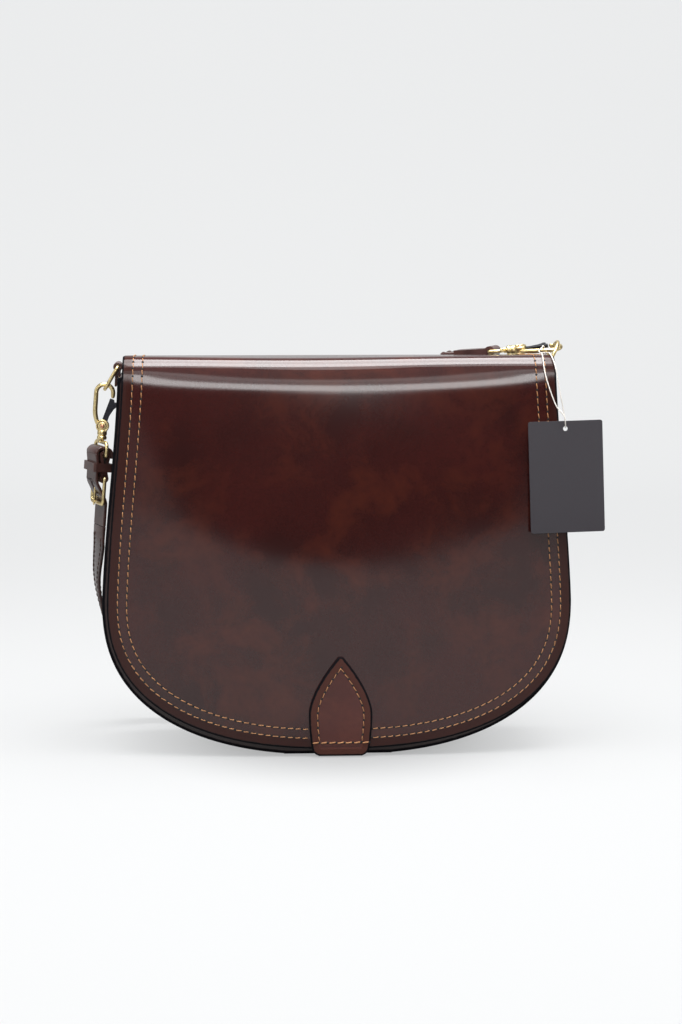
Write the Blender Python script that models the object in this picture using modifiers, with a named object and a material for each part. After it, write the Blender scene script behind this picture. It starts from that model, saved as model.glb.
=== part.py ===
"""Bell bag: a leather saddle bag with a full flap, snap hooks and a carrying strap.

Run with: blender --background --python part.py
Units are metres and +Z is up. The bag stands on z = 0 and its flap faces -Y.
The origin is the middle of the flat bottom.
"""

import math

import bmesh
import bpy
from mathutils import Matrix, Vector

MM = 0.001
CLEARANCE = 0.3 * MM
CUT_PAST = 2.0 * MM
MERGE_DISTANCE = MM / 1000.0

# Bag body
BODY_DEPTH = 84.0 * MM
BODY_TOP = 256.0 * MM
BODY_BELLY_HEIGHT = 104.0 * MM
BODY_BELLY_HALF = 159.0 * MM
BODY_TOP_HALF = 147.0 * MM
BODY_ROUND_BOTTOM = -1.0 * MM
BELL_POWER = 2.4
PANEL_THICKNESS = 2.6 * MM
PANEL_BULGE = 5.0 * MM
BULGE_HEIGHT = 95.0 * MM
BULGE_REACH = 170.0 * MM
BULGE_HALF = 165.0 * MM

# Gusset band between the panels
GUSSET_THICKNESS = 2.2 * MM
GUSSET_FLANGE = 10.0 * MM
GUSSET_FOLD = 6.0 * MM
GUSSET_TOP = BODY_TOP - 1.0 * MM
GUSSET_FOLD_LOW = 60.0 * MM
GUSSET_STEPS = 14
GUSSET_SEAM = 45.0 * MM

# Flap leather
FLAP_THICKNESS = 3.0 * MM
FLAP_RISE = 14.0 * MM
FLAP_TOP = BODY_TOP + FLAP_RISE
FLAP_TOP_INSET = 2.5 * MM
FLAP_TOP_HALF = BODY_TOP_HALF - FLAP_TOP_INSET
FLAP_BELLY_INSET = 2.2 * MM
FLAP_BELLY_HALF = BODY_BELLY_HALF - FLAP_BELLY_INSET
FLAP_BOTTOM = 5.0 * MM
FLAP_STAND_OFF = 6.4 * MM
FLAP_BULGE = 8.5 * MM
FLAP_SHIFT = 1.2 * MM
TOP_SLOPE = math.radians(2.9)
TOP_LEVEL_Y = -30.0 * MM
BEND_EASE = 14.0 * MM
FLAP_LOW_FLAT = 0.3 * MM
BACK_BEND_RADIUS = 11.0 * MM
FRONT_BEND_RADIUS = 12.0 * MM
FOLD_LINE_Y = 12.0 * MM
SHEET_COLUMNS = 12

# Pull tab on the flap
TAB_HALF_WIDTH = 21.4 * MM
TAB_BOTTOM = 0.8 * MM
TAB_TIP = 68.4 * MM
TAB_SHOULDER = 30.0 * MM
TAB_CORNER_RADIUS = 5.0 * MM
TAB_TAPER = 1.6 * MM
TAB_POINT_POWER = 1.6
TAB_POINT_SHARE = 0.02
TAB_THICKNESS = 2.4 * MM
TAB_LINING_THICKNESS = 1.8 * MM
TAB_ROWS = 11
TAB_COLUMNS = 6

# Magnetic snap behind the tab
SNAP_HEIGHT = 40.0 * MM
SNAP_RADIUS = 9.0 * MM
SNAP_PLUG_RADIUS = 3.2 * MM
SNAP_PLUG_LENGTH = 1.2 * MM
SNAP_BORE_RADIUS = 3.9 * MM
SNAP_MALE_THICKNESS = 1.2 * MM
SNAP_FEMALE_THICKNESS = 2.2 * MM
SNAP_PLATE_RADIUS = 8.0 * MM
SNAP_PLATE_THICKNESS = 0.8 * MM

# Ring tabs and D-rings
RING_Y = 27.0 * MM
RING_BAR_RISE = 4.6 * MM
RING_BAR_HEIGHT = GUSSET_TOP + RING_BAR_RISE
RING_WIRE = 1.3 * MM
RING_INNER_WIDTH = 20.0 * MM
RING_REACH = 18.3 * MM
RING_CORNER = 2.0 * MM
RING_TAB_WIDTH = 18.0 * MM
RING_TAB_LEATHER = 1.6 * MM
RING_TAB_DROP = 13.6 * MM
RING_TAB_LOW = RING_BAR_HEIGHT - RING_TAB_DROP
LEFT_RING_TILT = math.radians(30.7)
RIGHT_RING_TILT = math.radians(152.0)

# Snap hooks, measured down from the ring wire that the hook hangs on
HOOK_WIRE = 1.65 * MM
HOOK_INNER_RADIUS = 4.2 * MM
HOOK_BOSS_DROP = 25.8 * MM
HOOK_BOSS_RADIUS = 4.55 * MM
HOOK_BOSS_THICKNESS = 5.4 * MM
HOOK_TIP_DROP = 5.9 * MM
HOOK_SHANK_DROP = 14.0 * MM
HOOK_SHANK_EASE = 5.0 * MM
HOOK_FOOT_IN = 2.8 * MM
HOOK_FOOT_RISE = 2.6 * MM
HOOK_BARREL_RADIUS = 3.4 * MM
HOOK_BARREL_DROP = 35.2 * MM
HOOK_WALL = 1.6 * MM
GATE_THICKNESS = 2.0 * MM
GATE_LUG_RADIUS = 2.2 * MM
GATE_REACH = HOOK_BOSS_DROP - HOOK_TIP_DROP
GATE_WIDTH = 3.0 * MM
GATE_LUG_START = math.radians(130.0)
GATE_LUG_END = math.radians(330.0)
GATE_NUB_DROP = 10.5 * MM
GATE_NUB_RADIUS = 1.6 * MM
GATE_NUB_OUT = 3.0 * MM
GATE_TIP_INSET = 0.6 * MM
GATE_FRONT_INSET = 0.3 * MM
GATE_BACK_INSET = 0.5 * MM
GATE_NUB_EASE = 1.6 * MM
GATE_ARM_INSET = 3.4 * MM
GATE_ARM_RISE = 7.0 * MM
PIN_RADIUS = 0.9 * MM
PIN_HEAD_RADIUS = 1.5 * MM
PIN_HEAD = 0.5 * MM
POST_RADIUS = 1.3 * MM
POST_HEAD_RADIUS = 2.0 * MM
POST_HEAD = 1.5 * MM
EYE_WIRE = 1.3 * MM
EYE_INNER_HEIGHT = 6.4 * MM
EYE_LOW_RADIUS = 1.5 * MM
EYE_HIGH_RADIUS = 4.0 * MM
SLIDE_GAP = 0.25 * MM

# Carrying strap
STRAP_WIDTH = 20.0 * MM
STRAP_THICKNESS = 2.2 * MM
STRAP_EDGE_ROOM = 0.4 * MM
STRAP_RUN_SPACING = 11.0 * MM
STRAP_RUN_AHEAD = 8.0 * MM
STRAP_TURN_SHARE = 0.55

# Strap piece with the buckle, on the left hook
LOOP_LEATHER = 1.8 * MM
LOOP_HOLLOW_RADIUS = 2.1 * MM
LOOP_BAR_ROOM = 0.3 * MM
LOOP_WAIST = 2.6
LOOP_TIP = 3.6
HEEL_DROP = 15.7 * MM
BUCKLE_LENGTH = 18.0 * MM
BUCKLE_WIRE = 1.3 * MM
BUCKLE_HEEL_RADIUS = 1.0 * MM
BUCKLE_END_RADIUS = 3.0 * MM
PRONG_WIRE = 0.9 * MM
PRONG_CURL_END = math.radians(-60.0)
PRONG_STRAIGHT = 4.0 * MM
PRONG_LEAN = 0.2 * MM
PRONG_PAST = 1.5 * MM
PRONG_SLOT_START = 2.0 * MM
PRONG_SLOT_LENGTH = 9.6 * MM
PRONG_SLOT_WIDTH = 3.0 * MM
KEEPER_LEATHER = 1.5 * MM
KEEPER_HEIGHT = 6.0 * MM
KEEPER_RISE = 7.5 * MM
KEEPER_CORNER = 0.4 * MM
STRAP_TIP_RISE = 17.0 * MM
STRAP_TIP_CURL = 1.2 * MM
STRAP_TIP_CURL_LENGTH = 5.0 * MM
STRAP_DIVE_START = 1.5 * MM
STRAP_DIVE_END = 0.5 * MM
STRAP_DIVE_TURN = 2.7 * MM
STRAP_DIVE_ROUND = 0.9 * MM
STRAP_SETTLE = 4.0 * MM
STRAP_RIDE = 5.0 * MM
STRAP_UNDER = 2.8 * MM
STRAP_TAIL = 34.0 * MM
LEFT_SWIVEL_TURN = math.radians(22.0)
LEFT_HANG_EASE = math.radians(0.6)

# Folded strap end on the right hook
RIGHT_FOLD_LENGTH = 26.0 * MM

# Right hook, lying behind the top edge of the flap
RIGHT_CONTACT_REACH = 13.3 * MM
RIGHT_CHAIN_TURN = math.radians(20.0)
RIGHT_CHAIN_SLOPE = math.radians(4.0)
RIGHT_HOOK_ROLL = math.radians(15.0)

# Strap that lies folded on the floor behind the bag
FOLDS_Y = 72.0 * MM
FOLDS_HALF = 92.0 * MM
FOLDS_LAYERS = 3
FOLDS_AIR = 0.6 * MM
FOLDS_PITCH = STRAP_THICKNESS + FOLDS_AIR

# Where the free stretches of the strap pass, from the bag down to the floor
LEFT_RUN = (
    (-166.0 * MM, 52.0 * MM, 100.0 * MM),
    (-152.0 * MM, 66.0 * MM, 48.0 * MM),
    (-134.0 * MM, FOLDS_Y, 17.0 * MM),
    (-118.0 * MM, FOLDS_Y, 6.0 * MM),
    (-105.0 * MM, FOLDS_Y, 2.2 * MM),
)
RIGHT_RUN = (
    (66.0 * MM, 72.0 * MM, 246.0 * MM),
    (62.0 * MM, 74.0 * MM, 200.0 * MM),
    (78.0 * MM, 73.0 * MM, 120.0 * MM),
    (108.0 * MM, FOLDS_Y, 50.0 * MM),
    (112.0 * MM, FOLDS_Y, 16.0 * MM),
    (104.0 * MM, FOLDS_Y, 8.7 * MM),
)

# Swing tag and its string
TAG_WIDTH = 50.0 * MM
TAG_HEIGHT = 75.0 * MM
TAG_CARD = 0.8 * MM
TAG_CORNER_RADIUS = 1.5 * MM
TAG_HOLE_RADIUS = 1.6 * MM
TAG_HOLE_DROP = 5.2 * MM
TAG_HOLE_X = 152.0 * MM
TAG_HOLE_HEIGHT = 221.6 * MM
TAG_STAND_OFF = 5.2 * MM
TAG_LEAN = math.radians(2.0)
TAG_TURN = math.radians(-1.8)
STRING_RADIUS = 0.4 * MM
STRING_SPACING = 4.0 * MM

# Where the string passes: down from the right hook over the flap, and up again
STRING_DOWN = (
    (144.6 * MM, 25.0 * MM, 270.2 * MM),
    (141.6 * MM, 0.0 * MM, 269.8 * MM),
    (138.8 * MM, -28.0 * MM, 271.0 * MM),
    (137.6 * MM, -44.0 * MM, 269.0 * MM),
    (138.8 * MM, -50.6 * MM, 257.0 * MM),
    (145.6 * MM, -54.2 * MM, 237.0 * MM),
)
STRING_UP = (
    (148.6 * MM, -51.6 * MM, 245.0 * MM),
    (145.2 * MM, -48.8 * MM, 264.0 * MM),
    (143.4 * MM, -40.0 * MM, 270.6 * MM),
    (143.4 * MM, -26.0 * MM, 271.0 * MM),
    (144.4 * MM, -6.0 * MM, 269.7 * MM),
    (145.6 * MM, 6.0 * MM, 269.2 * MM),
    (146.2 * MM, 18.0 * MM, 268.6 * MM),
    (146.3 * MM, 26.5 * MM, 267.9 * MM),
)
# The same string round the hook's shank: angles round it, and places along it
STRING_WRAP_RADIUS = HOOK_WIRE + STRING_RADIUS + 0.45 * MM
STRING_WRAP_STEPS = 7
STRING_WRAP_START = math.radians(-85.0)
STRING_WRAP_TOP = math.radians(120.0)
STRING_WRAP_END = math.radians(-110.0)
STRING_WRAP_UNDER = math.radians(-140.0)
STRING_WRAP_PLACES = (-8.6 * MM, -10.0 * MM, -7.4 * MM)
# The same string near the tag's hole, measured from the hole's middle
STRING_THROUGH = (
    (-1.2 * MM, -2.2 * MM, 7.0 * MM),
    (-0.2 * MM, -1.2 * MM, 0.7 * MM),
    (0.0, 0.0, 0.0),
    (0.2 * MM, 1.2 * MM, 0.7 * MM),
    (-0.4 * MM, 1.9 * MM, 7.0 * MM),
)

# Roundness of turned pieces and bent wires
FINE_STEPS = 24
SMALL_STEPS = 16
ARC_STEP = math.radians(18.0)
ROUND_STEP = math.radians(22.5)
CORNER_STEP = math.radians(30.0)
END_SLIVER = math.radians(1.0)
AXIS_MARK = 10.0 * MM

LEATHER = (0.105, 0.055, 0.047)
STRAP_LEATHER = (0.035, 0.024, 0.022)
BRASS = (0.62, 0.44, 0.20)
STEEL = (0.45, 0.44, 0.43)
COPPER = (0.66, 0.33, 0.20)
CARD = (0.045, 0.042, 0.050)
STRING = (0.80, 0.78, 0.72)


def clear_scene():
    """Remove the objects that the scene holds."""
    for old in list(bpy.data.objects):
        bpy.data.objects.remove(old)


def make_collection(name):
    """Make a collection in the scene."""
    collection = bpy.data.collections.new(name)
    bpy.context.scene.collection.children.link(collection)
    return collection


def make_material(name, colour, roughness, metallic):
    """Make a Principled material."""
    material = bpy.data.materials.new(name)
    material.use_nodes = True
    shader = material.node_tree.nodes["Principled BSDF"]
    shader.inputs["Base Color"].default_value = (*colour, 1.0)
    shader.inputs["Roughness"].default_value = roughness
    shader.inputs["Metallic"].default_value = metallic
    return material


class Kit:
    """The collections and materials that the pieces share."""

    def __init__(self):
        self.parts = make_collection("bell_bag")
        self.cutters = make_collection("cutters")
        self.axes = make_collection("joint_axes")
        self.leather = make_material("flap_leather", LEATHER, 0.55, 0.0)
        self.strap = make_material("strap_leather", STRAP_LEATHER, 0.6, 0.0)
        self.brass = make_material("brass", BRASS, 0.3, 1.0)
        self.steel = make_material("plated_steel", STEEL, 0.35, 1.0)
        self.copper = make_material("copper", COPPER, 0.35, 1.0)
        self.card = make_material("card", CARD, 0.7, 0.0)
        self.string = make_material("cotton_string", STRING, 0.9, 0.0)


def link_piece(kit, name, data, material):
    """Put a mesh or curve into the parts collection as a named object."""
    piece = bpy.data.objects.new(name, data)
    data.materials.append(material)
    kit.parts.objects.link(piece)
    return piece


def link_cutter(kit, name, data):
    """Put a mesh into the cutters collection, hidden from the render."""
    cutter = bpy.data.objects.new(name, data)
    kit.cutters.objects.link(cutter)
    cutter.hide_render = True
    cutter.display_type = "WIRE"
    return cutter


def shade(mesh, angle=math.radians(40.0)):
    """Shade a mesh smooth, with its sharp edges kept."""
    mesh.shade_smooth()
    mesh.set_sharp_from_angle(angle=angle)


def to_mesh(kit, piece):
    """Turn a curve object into a mesh object with welded caps."""
    graph = bpy.context.evaluated_depsgraph_get()
    mesh = bpy.data.meshes.new_from_object(piece.evaluated_get(graph))
    welded = bmesh.new()
    welded.from_mesh(mesh)
    bmesh.ops.remove_doubles(welded, verts=welded.verts, dist=MERGE_DISTANCE)
    bmesh.ops.recalc_face_normals(welded, faces=welded.faces)
    welded.to_mesh(mesh)
    welded.free()
    solid = bpy.data.objects.new(piece.name, mesh)
    solid.matrix_world = piece.matrix_world.copy()
    name = piece.name
    bpy.data.objects.remove(piece)
    solid.name = name
    kit.parts.objects.link(solid)
    return solid


def combine(piece, other, operation):
    """Join or cut a piece by another mesh object, which keeps to the piece."""
    other.parent = piece
    boolean = piece.modifiers.new(operation.lower(), "BOOLEAN")
    boolean.operation = operation
    boolean.solver = "EXACT"
    boolean.object = other


def cylinder_mesh(name, radius, length, steps, place=(0, 0, 0), axis="Z", top_radius=None):
    """A cylinder or cone mesh centred at a place, along one axis."""
    shape = bmesh.new()
    bmesh.ops.create_cone(
        shape,
        cap_ends=True,
        segments=steps,
        radius1=radius,
        radius2=radius if top_radius is None else top_radius,
        depth=length,
    )
    turn = {"X": Matrix.Rotation(math.pi / 2, 4, "Y"), "Y": Matrix.Rotation(-math.pi / 2, 4, "X")}
    bmesh.ops.transform(shape, matrix=turn.get(axis, Matrix()), verts=shape.verts)
    bmesh.ops.translate(shape, vec=Vector(place), verts=shape.verts)
    mesh = bpy.data.meshes.new(name)
    shape.to_mesh(mesh)
    shape.free()
    return mesh


def box_mesh(name, low, high):
    """A box mesh between two corners."""
    low, high = Vector(low), Vector(high)
    shape = bmesh.new()
    bmesh.ops.create_cube(shape, size=1.0)
    bmesh.ops.scale(shape, vec=high - low, verts=shape.verts)
    bmesh.ops.translate(shape, vec=(low + high) / 2, verts=shape.verts)
    mesh = bpy.data.meshes.new(name)
    shape.to_mesh(mesh)
    shape.free()
    return mesh


def arc_points(centre, radius, start, end, step=ARC_STEP):
    """Points on an arc in a plane, both ends included."""
    count = max(2, math.ceil(abs(end - start) / step))
    angles = [start + (end - start) * i / count for i in range(count + 1)]
    return [(centre[0] + radius * math.cos(a), centre[1] + radius * math.sin(a)) for a in angles]


def rounded_box(low, high, radius):
    """A rectangle's outline with round corners, between two corners."""
    corners = (
        (high[0] - radius, high[1] - radius, 0.0),
        (low[0] + radius, high[1] - radius, 0.5),
        (low[0] + radius, low[1] + radius, 1.0),
        (high[0] - radius, low[1] + radius, 1.5),
    )
    outline = []
    for x, y, start in corners:
        outline += arc_points((x, y), radius, start * math.pi, (start + 0.5) * math.pi, CORNER_STEP)
    return outline


def circle_points(radius, height=0.0):
    """The points of a full circle round a point on the second axis."""
    return arc_points((0.0, height), radius, 0.0, 2 * math.pi, ROUND_STEP)[:-1]


def plate(kit, name, outlines, thickness, material):
    """A flat plate from closed outlines: the first is the rim and the rest are holes."""
    curve = bpy.data.curves.new(name, "CURVE")
    curve.dimensions = "2D"
    curve.fill_mode = "BOTH"
    curve.extrude = thickness / 2
    for outline in outlines:
        spline = curve.splines.new("POLY")
        spline.points.add(len(outline) - 1)
        for point, (x, y) in zip(spline.points, outline):
            point.co = (x, y, 0.0, 1.0)
        spline.use_cyclic_u = True
    return link_piece(kit, name, curve, material)


def wire(kit, name, points, radius, material, closed=False, resolution=2):
    """A round wire along points."""
    curve = bpy.data.curves.new(name, "CURVE")
    curve.dimensions = "3D"
    curve.bevel_depth = radius
    curve.bevel_resolution = resolution
    curve.use_fill_caps = True
    spline = curve.splines.new("POLY")
    spline.points.add(len(points) - 1)
    for point, place in zip(spline.points, points):
        point.co = (*place, 1.0)
    spline.use_cyclic_u = closed
    return link_piece(kit, name, curve, material)


def knotted_route(knots, spacing):
    """Points on a smooth curve that keeps every knot, near an even spacing."""
    knots = [Vector(k) for k in knots]
    ends = [knots[0] * 2 - knots[1], *knots, knots[-1] * 2 - knots[-2]]
    route = []
    for a, b, c, d in zip(ends, ends[1:], ends[2:], ends[3:]):
        length = (c - b).length
        steps = max(1, round(length / spacing))
        before = (c - a).normalized() * length
        after = (d - b).normalized() * length
        for k in range(steps):
            t = k / steps
            route.append(
                b * (2 * t**3 - 3 * t**2 + 1) + before * (t**3 - 2 * t**2 + t)
                + c * (3 * t**2 - 2 * t**3) + after * (t**3 - t**2)
            )
    route.append(knots[-1])
    return route


def loft(kit, name, rings, material):
    """A solid through rings of points, with flat ends. Each ring goes round the same way."""
    shape = bmesh.new()
    rows = [[shape.verts.new(point) for point in ring] for ring in rings]
    size = len(rings[0])
    for before, after in zip(rows, rows[1:]):
        for i in range(size):
            shape.faces.new((before[i], before[(i + 1) % size], after[(i + 1) % size], after[i]))
    shape.faces.new(list(reversed(rows[0])))
    shape.faces.new(rows[-1])
    bmesh.ops.recalc_face_normals(shape, faces=shape.faces)
    mesh = bpy.data.meshes.new(name)
    shape.to_mesh(mesh)
    shape.free()
    shade(mesh)
    return link_piece(kit, name, mesh, material)


def sheet(kit, name, rows, thickness, material):
    """A leather sheet: its outer face is a grid of rows, and it is thick towards the inside."""
    shape = bmesh.new()
    grid = [[shape.verts.new(point) for point in row] for row in rows]
    for upper, lower in zip(grid, grid[1:]):
        for i in range(len(upper) - 1):
            shape.faces.new((upper[i], lower[i], lower[i + 1], upper[i + 1]))
    mesh = bpy.data.meshes.new(name)
    shape.to_mesh(mesh)
    shape.free()
    shade(mesh)
    piece = link_piece(kit, name, mesh, material)
    solidify = piece.modifiers.new("thickness", "SOLIDIFY")
    solidify.thickness = thickness
    solidify.offset = -1.0
    solidify.use_even_offset = True
    return piece


def hang_on(kit, name, place, pieces):
    """Hang pieces on an empty that stands on their joint's axis, each kept where it is."""
    empty = bpy.data.objects.new(name, None)
    empty.empty_display_size = AXIS_MARK
    kit.axes.objects.link(empty)
    frame = Matrix.Translation(place)
    empty.matrix_world = frame
    for piece in pieces:
        piece.parent = empty
        piece.matrix_parent_inverse = frame.inverted()
    return empty


class Bell:
    """The bell outline: straight flared sides and a rounded bottom."""

    def __init__(self, top, top_half, belly_half, bottom):
        self.top = top
        self.top_half = top_half
        self.belly = BODY_BELLY_HEIGHT
        self.belly_half = belly_half
        self.bottom = bottom

    def half_width(self, z):
        """Half of the width at a height."""
        if z >= self.belly:
            u = (z - self.belly) / (self.top - self.belly)
            ease = (u + u * u * (3.0 - 2.0 * u)) / 2.0
            return self.belly_half + (self.top_half - self.belly_half) * ease
        t = (self.belly - z) / (self.belly - self.bottom)
        return self.belly_half * max(0.0, 1.0 - t**BELL_POWER) ** (1.0 / BELL_POWER)

    def heights(self, upper, lower, side_rows, round_rows):
        """Heights for rows from an upper one to a lower one, close where the outline turns."""
        side = [upper + (self.belly - upper) * i / side_rows for i in range(side_rows)]
        reach = (self.belly - lower) / (self.belly - self.bottom)
        last = math.asin(min(1.0, reach) ** (BELL_POWER / 2.0))
        turned = []
        for i in range(round_rows + 1):
            share = math.sin(last * i / round_rows) ** (2.0 / BELL_POWER)
            turned.append(self.belly - (self.belly - self.bottom) * share)
        return side + turned


BODY = Bell(BODY_TOP, BODY_TOP_HALF, BODY_BELLY_HALF, BODY_ROUND_BOTTOM)
FLAP = Bell(FLAP_TOP, FLAP_TOP_HALF, FLAP_BELLY_HALF, FLAP_BOTTOM)
BACK_Y = BODY_DEPTH / 2
FRONT_Y = -BODY_DEPTH / 2
FLAP_Y = FRONT_Y - FLAP_STAND_OFF
TAG_HOLE_PLACE = (TAG_HOLE_X, FLAP_Y - TAG_STAND_OFF, TAG_HOLE_HEIGHT)


def bulge(x, z, depth):
    """How far a full bag's front stands out at a place."""
    across = max(0.0, 1.0 - (x / BULGE_HALF) ** 2)
    upright = max(0.0, 1.0 - ((z - BULGE_HEIGHT) / BULGE_REACH) ** 2)
    return depth * across * upright


def row_across(half, z, y_at, shift=0.0, columns=SHEET_COLUMNS):
    """A row of points from -X to +X at one height."""
    xs = [shift + half * (2.0 * i / columns - 1.0) for i in range(columns + 1)]
    return [Vector((x, y_at(x, z), z)) for x in xs]


def panel_y(x, z):
    """The front panel's outer face."""
    return FRONT_Y - bulge(x, z, PANEL_BULGE)


def flap_y(x, z):
    """The flap's outer face below the front bend."""
    return FLAP_Y - bulge(x, z, FLAP_BULGE)


def top_height(y):
    """The height of the flap's outer face on the top."""
    return FLAP_TOP - (y - TOP_LEVEL_Y) * math.tan(TOP_SLOPE)


def bend_centre(radius, face_y, sign):
    """The centre of a bend between a standing face and the sloping top."""
    y = face_y - sign * radius
    touch = y + radius * math.sin(TOP_SLOPE)
    return y, top_height(touch) - radius * math.cos(TOP_SLOPE)


BACK_BEND = bend_centre(BACK_BEND_RADIUS, BACK_Y, 1.0)
FRONT_BEND = bend_centre(FRONT_BEND_RADIUS, FLAP_Y, -1.0)
LIFT_ANGLE = math.radians(135.0)
LIFT_AXIS = (
    FRONT_BEND[0] + FRONT_BEND_RADIUS * math.cos(LIFT_ANGLE),
    FRONT_BEND[1] + FRONT_BEND_RADIUS * math.sin(LIFT_ANGLE),
)
FOLD_AXIS = (FOLD_LINE_Y, top_height(FOLD_LINE_Y))


def top_shift(y):
    """The flap sits a little to the right of the body, and comes to that over the top."""
    share = (BACK_Y - y) / (BACK_Y - FLAP_Y)
    return FLAP_SHIFT * min(1.0, max(0.0, share))


def top_row(y, z):
    """A row across the flap on the top or in a bend."""
    return row_across(FLAP.half_width(min(z, FLAP_TOP)), z, lambda x, height: y, top_shift(y))


def bend_rows(centre, radius, start, end, count):
    """Rows across a bend, between two angles from +Y."""
    rows = []
    sliver = END_SLIVER if end > start else -END_SLIVER
    inner = [start + (end - start) * i / count for i in range(1, count)]
    for angle in [start, start + sliver, *inner, end - sliver, end]:
        rows.append(top_row(centre[0] + radius * math.cos(angle), centre[1] + radius * math.sin(angle)))
    return rows


def make_back_panel(kit):
    """The back panel, which goes on over the back bend to the flap's fold line."""
    heights = list(reversed(BODY.heights(BACK_BEND[1] - BEND_EASE, 0.0, 4, 8)))
    rows = [row_across(BODY.half_width(z), z, lambda x, height: BACK_Y) for z in heights]
    rows += bend_rows(BACK_BEND, BACK_BEND_RADIUS, 0.0, math.pi / 2 - TOP_SLOPE, 5)
    end = FOLD_LINE_Y + CLEARANCE / 2
    rows.append(top_row(end, top_height(end)))
    sheet(kit, "back_panel", rows, FLAP_THICKNESS, kit.leather)


def make_flap_top(kit):
    """The part of the flap over the bag's mouth, up to the middle of the front bend."""
    start = FOLD_LINE_Y - CLEARANCE / 2
    gap = CLEARANCE / 2 / FRONT_BEND_RADIUS
    rows = [top_row(start, top_height(start))]
    middle = (start + FRONT_BEND[0]) / 2
    rows.append(top_row(middle, top_height(middle)))
    rows += bend_rows(FRONT_BEND, FRONT_BEND_RADIUS, math.pi / 2 - TOP_SLOPE, LIFT_ANGLE - gap, 3)
    return sheet(kit, "flap_top", rows, FLAP_THICKNESS, kit.leather)


def make_flap_front(kit):
    """The part of the flap before the bag, from the middle of the front bend down."""
    gap = CLEARANCE / 2 / FRONT_BEND_RADIUS
    rows = bend_rows(FRONT_BEND, FRONT_BEND_RADIUS, LIFT_ANGLE + gap, math.pi, 3)
    lowest = FLAP_BOTTOM + FLAP_LOW_FLAT
    for z in FLAP.heights(FRONT_BEND[1] - BEND_EASE, lowest, 6, 12):
        rows.append(row_across(FLAP.half_width(z), z, flap_y, FLAP_SHIFT))
    return sheet(kit, "flap_front", rows, FLAP_THICKNESS, kit.leather)


def make_front_panel(kit):
    """The front panel under the flap."""
    rows = [
        row_across(BODY.half_width(z), z, panel_y) for z in BODY.heights(BODY_TOP, 0.0, 5, 9)
    ]
    sheet(kit, "front_panel", rows, PANEL_THICKNESS, kit.leather)


def gusset_route():
    """The body's outline from the left top round to the right top, its inward way and its seam."""
    heights = BODY.heights(GUSSET_TOP, 0.0, GUSSET_STEPS // 2, GUSSET_STEPS)
    below_seam = GUSSET_SEAM - CLEARANCE / 2
    heights = sorted([*heights, below_seam + CLEARANCE, below_seam], reverse=True)
    left = [Vector((-BODY.half_width(z), 0.0, z)) for z in heights]
    right = [Vector((-p.x, 0.0, p.z)) for p in reversed(left)]
    route = left + right
    inward = []
    for i, _ in enumerate(route):
        before = route[max(0, i - 1)]
        after = route[min(len(route) - 1, i + 1)]
        along = (after - before).normalized()
        inward.append(Vector((-along.z, 0.0, along.x)))
    middle = len(left)
    inward[middle - 1] = Vector((0.0, 0.0, 1.0))
    inward[middle] = Vector((0.0, 0.0, 1.0))
    seam = heights.index(below_seam)
    inward[seam - 1] = inward[seam]
    inward[-seam] = inward[-seam - 1]
    return route, inward, seam


def make_gusset(kit):
    """The gusset: three strips round the sides and bottom, with flanges turned in along both panels."""
    back = BACK_Y - FLAP_THICKNESS - CLEARANCE
    front = FRONT_Y + PANEL_THICKNESS + CLEARANCE
    route, inward, seam = gusset_route()
    rings = []
    for place, way in zip(route, inward):
        out = bulge(place.x, place.z, PANEL_BULGE)
        rise = (place.z - GUSSET_FOLD_LOW) / (GUSSET_TOP - GUSSET_FOLD_LOW)
        fold = GUSSET_FOLD * math.sin(math.pi * max(0.0, rise))
        near = front - out
        section = [
            (0.0, near),
            (fold, (near + back) / 2),
            (0.0, back),
            (GUSSET_FLANGE, back),
            (GUSSET_FLANGE, back - GUSSET_THICKNESS),
            (GUSSET_THICKNESS, back - GUSSET_THICKNESS),
            (fold + GUSSET_THICKNESS, (near + back) / 2),
            (GUSSET_THICKNESS, near + GUSSET_THICKNESS),
            (GUSSET_FLANGE, near + GUSSET_THICKNESS),
            (GUSSET_FLANGE, near),
        ]
        rings.append([place + way * inset + Vector((0.0, y, 0.0)) for inset, y in section])
    loft(kit, "gusset_left", rings[:seam], kit.leather)
    loft(kit, "gusset_base", rings[seam:-seam], kit.leather)
    loft(kit, "gusset_right", rings[-seam:], kit.leather)


def tab_half_width(z):
    """Half of the pull tab's width at a height: pointed above, rounded corners below."""
    if z >= TAB_SHOULDER:
        share = (z - TAB_SHOULDER) / (TAB_TIP - TAB_SHOULDER)
        return TAB_HALF_WIDTH * max(TAB_POINT_SHARE, 1.0 - share**TAB_POINT_POWER)
    rise = z - TAB_BOTTOM
    taper = TAB_TAPER * ((TAB_SHOULDER - z) / (TAB_SHOULDER - TAB_BOTTOM)) ** 2
    corner = 0.0
    if rise < TAB_CORNER_RADIUS:
        drop = TAB_CORNER_RADIUS - rise
        corner = TAB_CORNER_RADIUS - math.sqrt(TAB_CORNER_RADIUS**2 - drop**2)
    return TAB_HALF_WIDTH - taper - corner


def tab_rows(face_y):
    """Rows of the tab from its tip down, close at the tip and at the bottom corners."""
    shares = [i / TAB_ROWS for i in range(TAB_ROWS + 1)]
    heights = [TAB_TIP + (TAB_SHOULDER - TAB_TIP) * s for s in shares[:TAB_ROWS:2]]
    heights += [TAB_SHOULDER, (TAB_SHOULDER + TAB_CORNER_RADIUS) / 2]
    for i in range(4):
        angle = math.pi / 2 * i / 3
        heights.append(TAB_BOTTOM + TAB_CORNER_RADIUS * (1.0 - math.sin(angle)))
    return [
        row_across(tab_half_width(z), z, face_y, FLAP_SHIFT, TAB_COLUMNS) for z in heights
    ]


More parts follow.
